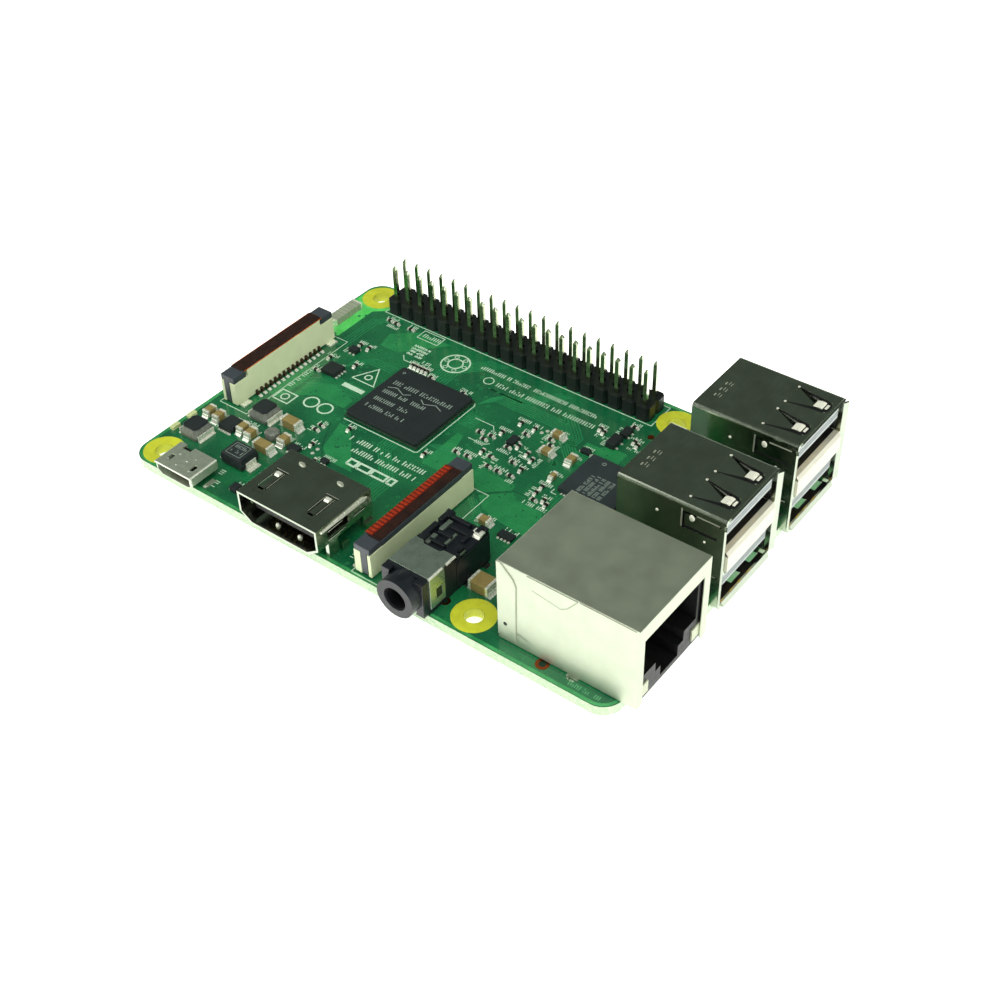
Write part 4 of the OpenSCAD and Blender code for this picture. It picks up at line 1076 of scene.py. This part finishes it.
def stack_top(parts, mid, back):
    """The two spring fingers cut in the top of a stack, with slits and holes in painted shade, tips and
    dimples in painted highlight, and a row of stamped marks.
    """
    root, tip, top = back + 9.9, back + 14.3, STACK_TOP
    slit = [(root + 0.15, 1.88), (root + 0.15, 1.98), (tip - 0.4, 1.42), (tip - 0.4, 0.8)]
    hole = [(-0.5, -1.42), (-0.5, 1.42), (0.6, 1.3), (1.35, 0.5), (1.35, -0.7), (0.7, -1.38)]
    bend = [
        (-0.9, 0.0), (-0.5, 0.12), (0.0, 0.2), (0.35, 0.16),
        (0.5, 0.0), (0.4, -0.05), (0.0, 0.0), (-0.5, -0.05),
    ]
    lip = [(0.62, 0.0), (0.72, 0.1), (0.9, 0.12), (1.05, 0.0), (0.8, -0.03)]
    for y in (mid - 2.95, mid + 2.95):
        for hand in (-1, 1):
            parts["dimples"].washer((root, y + hand * 1.95), 0.07, 0.18, top - SINK, top + 0.03, 14)
            parts["slits"].prism([(x, y + hand * dy) for x, dy in slit], top - SINK, top + GAP_T)
        parts["slits"].prism([(tip + x, y + dy) for x, dy in hole], top - SINK, top + GAP_T)
        parts["finger_tips"].bar(bend, (tip, y, top), (1, 0), 1.5)
        parts["finger_tips"].bar(lip, (tip, y, top), (1, 0), 1.0)
    marks = ((1.4, 0, 1.62, 0.55, 0.015), (1.9, 0.2, 2.0, 0.9, 0.012), (2.3, 0, 2.4, 0.7, 0.012))
    for i in range(3):
        y = mid - 3.4 + i * 1.5
        for x0, y0, x1, y1, thick in marks:
            parts["stamping"].box((back + x0, y + y0, top - SINK), (back + x1, y + y1, top + thick))


def stack_ports(parts, node, mid, back, front):
    """What shows in the two ports: dark lining as painted shade, tongue faces in painted shade, contact
    bumps, the wall between the ports.
    """
    start, half = back + 5.6, 6.0
    # Dark side linings of both ports: painted shade
    for side in (-1, 1):
        y0, y1 = sorted(mid + side * y for y in (half, 6.12))
        for z in (1.25, 10.0):
            parts["painted_shade_linings"].box((start, y0, z + 0.1), (front - 0.8, y1, z + 5.0))
    # A dark plate under the upper port: painted shade
    parts["painted_shade_linings"].box((start, mid - half, 9.82), (front - 0.75, mid + half, 9.96))
    face = back + 15.2
    bump = [(-2.2, 0.0), (-0.8, -0.75), (-0.4, -0.8), (0.0, -0.2), (0.0, 0.0)]
    # The tongue's front face, darker than its plastic as painted shade
    for z in tongue_tops(node):
        parts["tongue_faces"].box(
            (face - 0.02, mid - 5.54, z - TONGUE_T + 0.02), (face + 0.5, mid + 5.54, z - 0.02),
        )
        for line in (z - 0.85, z - 1.3):
            parts["tongue_lines"].box((face + 0.4, mid - 5.4, line), (face + 0.53, mid + 5.4, line + 0.14))
        for y in (-3.5, -1, 1, 3.5):
            parts["contact_bumps"].bar(bump, (face - 0.25, mid + y, z - TONGUE_T - 0.1), (1, 0), 0.9)
    parts["middle_walls"].box((back + 16.05, mid - half, 6.98), (back + 16.5, mid + half, 9.42))
    lip = [(-0.75, -0.05), (-0.75, 0.04), (0.03, 0.04), (0.42, -0.56), (0.37, -0.62), (0.0, -0.05)]
    parts["middle_walls"].bar(lip, (front, mid, 10.0), (1, 0), 11.9)


def stack_floor(parts, mid, back, front):
    """The floor of the lower port, dark as painted shade, with two windows over the board's edge that show
    the board in painted light.
    """
    z, half = 0.55, 5.8

    def plate(x0, x1, y0=-half, y1=half):
        parts["painted_shade_linings"].box((x0, mid + y0, z), (x1, mid + y1, z + 0.15))

    # The lower port's floor, dark as painted shade
    plate(back + 5.6, front - 2.5)
    for y0, y1 in ((-half, -1.5), (1.0, 3.3), (5.6, half)):
        plate(front - 2.6, front - 1.0, y0, y1)
    plate(front - 1.1, front - 0.35)
    for y0, y1 in ((-1.5, 1.0), (3.3, 5.6)):
        # Bright green plates: the board seen through the windows in painted light
        parts["floor_windows"].box((front - 2.55, mid + y0, z - 0.2), (front - 1.05, mid + y1, z - 0.05))


def stack_side(parts, side, wall, front):
    """Stamped bumps in painted highlight, folds, and a slit in painted shade on one side of a stack, the
    same for both ports.
    """
    y0, y1 = sheet_on(wall, side, SINK, 0.03)
    dimples = parts["dimples"]
    for level in (0, 8.75):
        for x, z, radius, squash in ((4.9, 4.95, 0.42, 1.25), (10.0, 3.8, 0.22, 1), (2.9, 2.0, 0.2, 1)):
            dimples.turn = facing((front - x, wall - side * SINK, z + level), (0, side, 0), (1, 0, 0))
            dimples.dome((0, 0, 0), radius, 0.14, 4, 14, squash)
        dimples.turn = Matrix.Identity(4)
        parts["stamping"].box((front - 6.5, y0, level + 3.0), (front - 6.28, y1, level + 5.9))
        parts["stamping"].box((front - 4.2, y0, level + 5.5), (front - 0.9, y1, level + 5.68))
        parts["slits"].box((front - 6.2, y0, level + 3.0), (front - 1.2, y1 - 0.004, level + 3.4))


def stack_details():
    """Stamped marks, spring fingers and port linings of the two plug stacks, with painted highlight on tips
    and dimples and painted shade in slits and linings.
    """
    parts = {name: Shape() for name in STACK_PIECES}
    for node in ("lower_stack_shell", "upper_stack_shell"):
        low, high = area(node)
        mid, back, front = (low.y + high.y) / 2, low.x, high.x - 0.4
        stack_top(parts, mid, back)
        for side in (-1, 1):
            stack_side(parts, side, mid + side * 6.5, front)
        stack_ports(parts, node, mid, back, front)
        stack_floor(parts, mid, back, front)
    for name, (look, slot, bevel) in STACK_PIECES.items():
        piece("stack_" + name, parts[name], look, bevel=bevel, smooth=name == "dimples")


# ---- Other sockets ----


def network_details():
    """The folded outer sheet of the network shell: rear flap and tab on both sides, their fold lines."""
    low, high = area("network_shell")
    low_y, sheet = high.y - 15.9, 0.1
    flap = [(0, 13.6), (0.6, 13.6), (2.5, 11.7), (2.95, 10.6), (2.8, 0.9), (0, 0.9)]
    tab = [(4.6, 13.5), (5.4, 11.6), (9.7, 10.95), (10.6, 11.5), (12.0, 13.3), (12.2, 13.5)]
    sheets, folds, seams = Shape(), Shape(), Shape()
    for side, wall in ((-1, low_y), (1, high.y)):
        for shape in (sheets, folds, seams):
            shape.turn = facing((low.x, wall, 0), (0, side, 0), (1, 0, 0))
        for points, width in ((flap, 0.14), (tab, 0.16)):
            outline = [(x, -side * z) for x, z in points]
            sheets.prism(outline, -SINK, sheet)
            folds.ribbon(outline[1:5], width, 0, sheet + 0.01)
        seams.ribbon([(12.4, -side * 13.52), (20.4, -side * 13.46)], 0.11, 0, 0.02)
    piece("network_flaps", sheets, "network_steel", bevel=0.04)
    piece("network_folds", folds, "fold_line")
    piece("network_seams", seams, "seam_line")
    # A small hole in the flap, as a dark disc of painted shade
    hole = Shape()
    hole.turn = facing((low.x + 1.2, low_y - sheet, 3.3), (0, -1, 0), (1, 0, 0))
    hole.disc((0, 0), 0.3, -SINK, GAP_T, 16)
    piece("network_flap_hole", hole, "gap_painted_shade")


def video_top(mid, front, top, bumps, plates, dark, grey):
    """The roots and bumps of the two spring fingers in the video shell's top, the bumps lighter as painted
    highlight and a slit across each finger in painted shade, and two stamped bumps.
    """
    hump = [(-0.5, 0), (-0.2, 0.2), (0.2, 0.26), (0.45, 0.1), (0.45, -0.1), (-0.5, -0.1)]
    for x in (mid - 5.0, mid + 4.2):
        # The finger is joined to the shell at its front end: the cut there is closed again
        plates.box((x - 0.85, front + 1.5, top - 0.3), (x + 0.85, front + 2.6, top))
        bumps.bar(hump, (x, front + 5.9, top), (0, 1), 0.85)
        for side in (-1, 1):
            edge = x + side * 0.74
            grey.box((edge - 0.05, front + 2.7, top - SINK), (edge + 0.05, front + 6.4, top + GAP_T))
        dark.box((x - 1.15, front + 6.55, top - SINK), (x + 1.15, front + 6.75, top + GAP_T))
        grey.box((x - 1.1, front + 6.75, top - SINK), (x + 1.1, front + 6.86, top + 0.02))
    for x in (mid - 3.75, mid + 3.35):
        grey.turn = Matrix.Translation((x, front + 9.35, top - 0.03)) @ Matrix.Rotation(-0.3, 4, "Z")
        grey.dome((0, 0, 0), 0.75, 0.24, 4, 14, 0.5)
    grey.turn = Matrix.Identity(4)


def video_details():
    """Spring fingers, stamped bumps, side springs in painted highlight with their slits in painted shade,
    and feet of the video socket.
    """
    low, high = area("video_socket_shell")
    mid, front = (low.x + high.x) / 2, low.y
    bumps, plates, dark, grey = Shape(), Shape(), Shape(), Shape()
    video_top(mid, front, high.z, bumps, plates, dark, grey)
    for x in (mid - 1.7, mid + 2.4):
        bumps.dome((x, front + 1.6, 1.5), 0.42, 0.5, 4, 14, 0.8)
    spring = [(0.9, 5.25), (4.0, 5.2), (9.6, 5.05), (10.2, 5.35), (9.2, 5.85), (4.0, 5.75), (0.9, 5.6)]
    for side in (-1, 1):
        wall = mid + side * 7.3
        bumps.loft([[(x, front + y, z) for y, z in spring] for x in sheet_on(wall, side, 0.05, 0.16)])
        x0, x1 = sheet_on(wall, side, 0.05, 0.03)
        for y0, y1, z in ((2.2, 5.2, 4.6), (2.2, 5.6, 3.1), (7.4, 9.6, 3.7)):
            bumps.box((x0, front + y0, z), (x1, front + y1, z + 0.13))
            dark.box((x0, front + y0, z + 0.13), (x1, front + y1, z + 0.3))
        x0, x1 = sheet_on(wall, side, 0.05, 0.35)
        for y0, y1 in ((4.2, 5.6), (9.2, 10.8)):
            plates.box((x0, front + y0, 0.05), (x1, front + y1, 1.2))
    piece("video_stamping", grey, "stamped_edge", bevel=0.03)
    # The springs and bumps are lighter than the shell, as painted highlight
    piece("video_springs", bumps, "tin_painted_highlight", bevel=0.04)
    piece("video_plates", plates, "shell_nickel", bevel=0.03)
    # The slits as dark films of painted shade
    piece("video_gaps", dark, "gap_painted_shade")


def power_details():
    """Rolled lips round the mouth of the power socket, its side edge and feet, and small domes on its top,
    all lighter than the shell as painted highlight.
    """
    low, high = area("power_socket_shell")
    mid, top, front = (low.x + high.x) / 2, high.z, low.y
    left, wall = mid - 3.65, mid + 3.65
    right, mouth = wall - 0.1, front + 0.06
    lips = Shape()
    lips.tube([(left + 0.2, mouth, top - 0.07), (right, mouth, top - 0.07)], 0.1)
    lips.tube([(right, mouth, top - 0.1), (right, high.y - 0.1, top - 0.1)], 0.15)
    lips.tube([(right, mouth, top - 0.1), (right, mouth, 1.5)], 0.11)
    lips.box((wall + 0.05, front + 2.0, 0.01), (wall + 0.6, front + 3.0, 0.2))
    for x, y, radius in (
        (-1.6, 3.2, 0.16), (0.4, 2.6, 0.2), (1.2, 3.6, 0.14), (-0.4, 1.2, 0.18), (2.2, 1.2, 0.15),
        (-2.4, 1.6, 0.13),
    ):
        lips.dome((mid + x, front + y, top - SINK), radius, 0.04, 3, 10, 0.7)
    piece("power_lips", lips, "tin_painted_highlight", smooth=True)


def audio_sheet(mid, side, top):
    """The sheet spring over the front half of the audio socket, and a painted highlight along its bend."""
    sheet, left = 0.12, mid - 3.4 + 0.15
    plate = Shape()
    plate.prism([
        (left, 0.5), (side, 0.5), (side, 5.9), (mid + 1.6, 5.9), (mid + 1.2, 5.4), (mid - 1.4, 5.4),
        (mid - 1.9, 5.9), (left, 5.9),
    ], top - SINK, top + sheet)
    for y0, y1, z0, z1 in (
        (0.5, 1.7, 0.8, top), (2.9, 3.5, 0.8, top), (1.7, 2.9, 0.8, 1.9), (1.7, 2.9, 3.6, top),
    ):
        plate.box((side - SINK, y0, z0), (side + sheet, y1, z1))
    piece("audio_ground_spring", plate, "audio_sheet", bevel=0.03)
    bends = Shape()
    for y0, y1 in ((0.45, 3.2), (4.0, 5.9)):
        bends.tube([(side - 0.02, y0, top - 0.03), (side - 0.02, y1, top - 0.03)], 0.19, 10)
    piece("audio_bends", bends, "tin_painted_highlight", smooth=True)


def audio_rear(mid, side):
    """The ribs, metal strips and bent tab on the low rear half of the audio socket."""
    floor = 5.1
    ribs, strips, tab = Shape(), Shape(), Shape()
    for x, y, wide, long, tall in (
        (-2.9, 6.6, 0.8, 3.4, 0.75), (-2.9, 10.6, 0.8, 2.2, 0.75), (2.5, 7.2, 0.9, 1.2, 0.6),
        (-0.6, 6.9, 2.6, 0.5, 0.55), (-0.6, 8.6, 2.2, 0.5, 0.7), (0.4, 10.4, 3.0, 0.5, 0.5),
        (-1.0, 11.9, 4.2, 0.6, 0.65), (1.9, 9.2, 0.6, 2.6, 0.45),
    ):
        ribs.box((mid + x - wide / 2, y, floor - SINK), (mid + x + wide / 2, y + long, floor + tall))
    ribs.loft([
        [(*p, z) for p in rectangle((side - 0.02, y), (side + 0.14, y + long))]
        for y, long, z in ((6.0, 7.0, 0.3), (6.0, 7.0, 4.2), (6.8, 6.2, 5.0))
    ])
    piece("audio_ribs", ribs, "audio_black", bevel=0.08)
    for x0, x1, y0, y1, tall in (
        (-2.2, -1.5, 6.4, 8.4, 0.35), (-2.2, -1.5, 9.4, 11.6, 0.4), (0.2, 0.6, 7.4, 9.9, 0.4),
    ):
        strips.box((mid + x0, y0, floor), (mid + x1, y1, floor + tall))
    piece("audio_strips", strips, "audio_sheet", bevel=0.04)
    bend = [(0, 0), (0.3, 0.35), (1.0, 0.55), (1.5, 0.45), (1.5, 0.2), (0.9, 0.2), (0.2, -0.1)]
    tab.bar(bend, (mid + 2.6, 10.9, floor), (0, 1), 1.5)
    # The tab is lighter than the sheet metal, as painted highlight
    piece("audio_tab", tab, "tin_painted_highlight", bevel=0.06)


def audio_bore(mid, front):
    """The collar beside the audio socket's barrel, a lining of painted shade in its bore and a spring in it
    in painted highlight.
    """
    collar, lining, spring = Shape(), Shape(), Shape()
    outline = [(3.4, 0.2), (3.4, 6.0), (2.0, 6.0), (2.6, 3.1), (2.0, 0.2)]
    for hand in (-1, 1):
        collar.loft([[(mid + hand * x, y, z) for x, z in outline] for y in (-0.9, 0.02)])
    piece("audio_collar", collar, "audio_black", bevel=0.08)
    lining.turn = facing((mid, front + 0.35, 3.1), (0, 1, 0), (1, 0, 0))
    lining.washer((0, 0), 1.68, 1.79, 0, 7.2, 32)
    lining.disc((0, 0), 1.75, 7.0, 7.2, 32)
    # The bore's lining: painted shade inside the bore
    piece("audio_bore_lining", lining, "gap_painted_shade")
    spring.turn = facing((mid + 1.55, front + 1.6, 2.7), (-1, 0, 0), (0, 1, 0))
    spring.dome((0, 0, 0), 0.42, 0.3, 4, 12, 0.7)
    # A bright dome in the bore: painted highlight
    piece("audio_bore_spring", spring, "tin_painted_highlight", smooth=True)


def audio_details():
    low, high = area("audio_socket_body")
    mid = (low.x + high.x) / 2
    side = mid + 3.4
    audio_sheet(mid, side, high.z)
    audio_rear(mid, side)
    audio_bore(mid, low.y)


def film_covers():
    """The amber films as they lie over latch and rear wall, with bright edges and heat-pressed ribs."""
    floor, over = 5.315, 0.72
    for name in ("camera", "display"):
        low, high = area(name + "_film")
        body = name + "_slider"
        y0, y1, base = low.y + 0.2, high.y - 0.2, high.z - 0.01
        if name == "camera":
            x0, x1, starts, look = low.x - over, high.x, [low.x - over], "film_rib"
        else:
            x0, x1, starts, look = low.x, high.x + over, [low.x, high.x + over - 0.08], "film_edge"
        film, edges = Shape(), Shape()
        film.box((x0, y0, base), (x1, y1, floor + 0.03))
        for x in starts:
            edges.box((x, y0, base), (x + 0.08, y1, floor + 0.045))
        piece(name + "_film_cover", film, "amber_film", body)
        piece(name + "_film_edges", edges, look, body)
        if name == "camera":
            film_ribs(low, high, x0, floor, body)


def film_ribs(low, high, left, floor, body):
    """The pressed ribs along the camera film's edge, on a dark red strip."""
    count = 24
    step = (high.y - low.y - 0.6) / count
    ribs, strip = Shape(), Shape()
    for i in range(count):
        y = low.y + 0.3 + i * step
        ribs.box((left + 0.03, y, floor), (left + 1.15, y + step * 0.6, floor + 0.1))
    strip.box((left + 0.02, low.y + 0.25, floor), (left + 1.28, high.y - 0.25, floor + 0.045))
    piece("camera_film_base", strip, "film_over_wall", body)
    piece("camera_film_ribs", ribs, "film_rib", body, bevel=0.02)


def antenna_ribs():
    """Thin printed steps across the chip antenna."""
    low, high = area("chip_antenna")
    shape = Shape()
    for i in range(7):
        y = low.y + 0.7 + i * 0.8
        shape.box((low.x - 0.012, y, 0.1), (high.x + 0.012, y + 0.14, high.z + 0.02))
    piece("antenna_ribs", shape, "chip_marking")
    ends = Shape()
    for y in (low.y, high.y - 0.35):
        ends.box((low.x - 0.02, y - 0.02, 0.01), (high.x + 0.02, y + 0.37, high.z + 0.02))
    piece("antenna_ends", ends, "tinned_metal", bevel=0.03)


def connector_leads():
    """Bent leads behind both cable connectors: an arch at the wall in painted shade, a bright foot on the
    board.
    """
    arch = [(0, 0.1), (0, 0.95), (0.2, 0.95), (0.5, 0.62), (0.62, 0.12)]
    foot = [(0, 0.1), (0.05, 0.3), (0.3, 0.3), (0.5, 0.2), (0.62, 0.01), (0, 0.01)]
    arches, feet = Shape(), Shape()
    for node, out in CABLE_CONTACTS.items():
        for low, high in islands(node):
            mid = (low.y + high.y) / 2
            tip = high.x if out > 0 else low.x
            arches.bar(arch, (tip - out * 0.95, mid, 0), (out, 0), 0.42)
            feet.bar(foot, (tip - out * 0.42, mid, 0), (out, 0), 0.58)
    # The arches are dark as painted shade
    piece("connector_arches", arches, "lead_painted_shade", bevel=0.05)
    piece("connector_feet", feet, "solder", bevel=0.08)


screw_pads()
antenna_window()
board_rim()
copper_pours()
copper_tracks()
vias()
copper_marks()
printing()
underside_printing()
chip_markings()
end_fillets()
lead_solder()
pin_solder()
coils()
diode_case()
stack_details()
network_details()
video_details()
audio_details()
film_covers()
power_details()
antenna_ribs()
connector_leads()


# ---- Stage: floor, light, camera ----


def stage():
    mesh = bpy.data.meshes.new("floor")
    half, z = 4.0, cad_box[0].z - 0.0002
    corners = [(x, y, z) for x, y in rectangle((-half, -half), (half, half))]
    mesh.from_pydata(corners, [], [[0, 1, 2, 3]])
    g = Graph("floor_paper")
    mesh.materials.append(g.shader(
        Base_Color=g.ramp(g.noise(40.0), srgb(246, 247, 244), srgb(250, 251, 249)), Roughness=0.9,
        Emission_Color=(1, 1, 1, 1), Emission_Strength=0.78,
    ))
    floor = bpy.data.objects.new("floor", mesh)
    bpy.context.scene.collection.objects.link(floor)


def softbox(name, place, size, power, colour=(1.0, 1.0, 0.95), glossy=True):
    data = bpy.data.lights.new(name, "AREA")
    data.shape = "RECTANGLE"
    data.size, data.size_y = size
    data.energy = power
    data.color = colour
    lamp = bpy.data.objects.new(name, data)
    lamp.location = place
    lamp.visible_glossy = glossy
    lamp.rotation_euler = (Vector(place) * -1).to_track_quat("-Z", "Y").to_euler()
    bpy.context.scene.collection.objects.link(lamp)


def studio():
    world = bpy.data.worlds.new("studio")
    bpy.context.scene.world = world
    world.use_nodes = True
    tree = world.node_tree
    tree.nodes.clear()
    direction = tree.nodes.new("ShaderNodeTexCoord").outputs["Generated"]
    parts = tree.nodes.new("ShaderNodeSeparateXYZ")
    tree.links.new(direction, parts.inputs[0])
    ramp = tree.nodes.new("ShaderNodeValToRGB")
    tree.links.new(parts.outputs[2], ramp.inputs[0])
    # Brightness of the surroundings, from level with the board to straight above it
    stops = (
        (0.0, (0.93, 0.95, 0.88, 1)), (0.3, (0.3, 0.34, 0.3, 1)),
        (0.55, (0.07, 0.085, 0.07, 1)), (1.0, (0.1, 0.12, 0.1, 1)),
    )
    points = ramp.color_ramp.elements
    points.remove(points[1])
    points[0].color = stops[0][1]
    for position, colour in stops[1:]:
        points.new(position).color = colour
    background = tree.nodes.new("ShaderNodeBackground")
    tree.links.new(ramp.outputs[0], background.inputs[0])
    out = tree.nodes.new("ShaderNodeOutputWorld")
    tree.links.new(background.outputs[0], out.inputs[0])
    softbox("key_light", (0.22, -0.32, 0.78), (0.9, 0.9), 8.0, glossy=False)
    softbox("side_light", (-0.45, -0.35, 0.45), (0.6, 0.6), 1.8)
    softbox("front_light", (0.55, 0.0, 0.2), (0.4, 0.3), 1.6, (1.0, 1.0, 0.97), glossy=False)
    bpy.context.scene.view_settings.view_transform = "Standard"


def camera():
    data = bpy.data.cameras.new("camera")
    data.sensor_width = 36
    data.lens = 53.765
    data.clip_start, data.clip_end = 0.01, 20
    obj = bpy.data.objects.new("camera", data)
    azimuth, elevation, roll = (math.radians(a) for a in (38.472, 41.303, -1.804))
    back = Vector((
        math.sin(azimuth) * math.cos(elevation), -math.cos(azimuth) * math.cos(elevation),
        math.sin(elevation),
    ))
    side = Vector((math.cos(azimuth), math.sin(azimuth), 0))
    up = back.cross(side)
    right = side * math.cos(roll) + up * math.sin(roll)
    top = up * math.cos(roll) - side * math.sin(roll)
    turn = Matrix((right, top, back)).transposed().to_4x4()
    obj.matrix_world = Matrix.Translation((0.116173, -0.128038, 0.140154)) @ turn
    bpy.context.scene.collection.objects.link(obj)
    bpy.context.scene.camera = obj


stage()
studio()
camera()
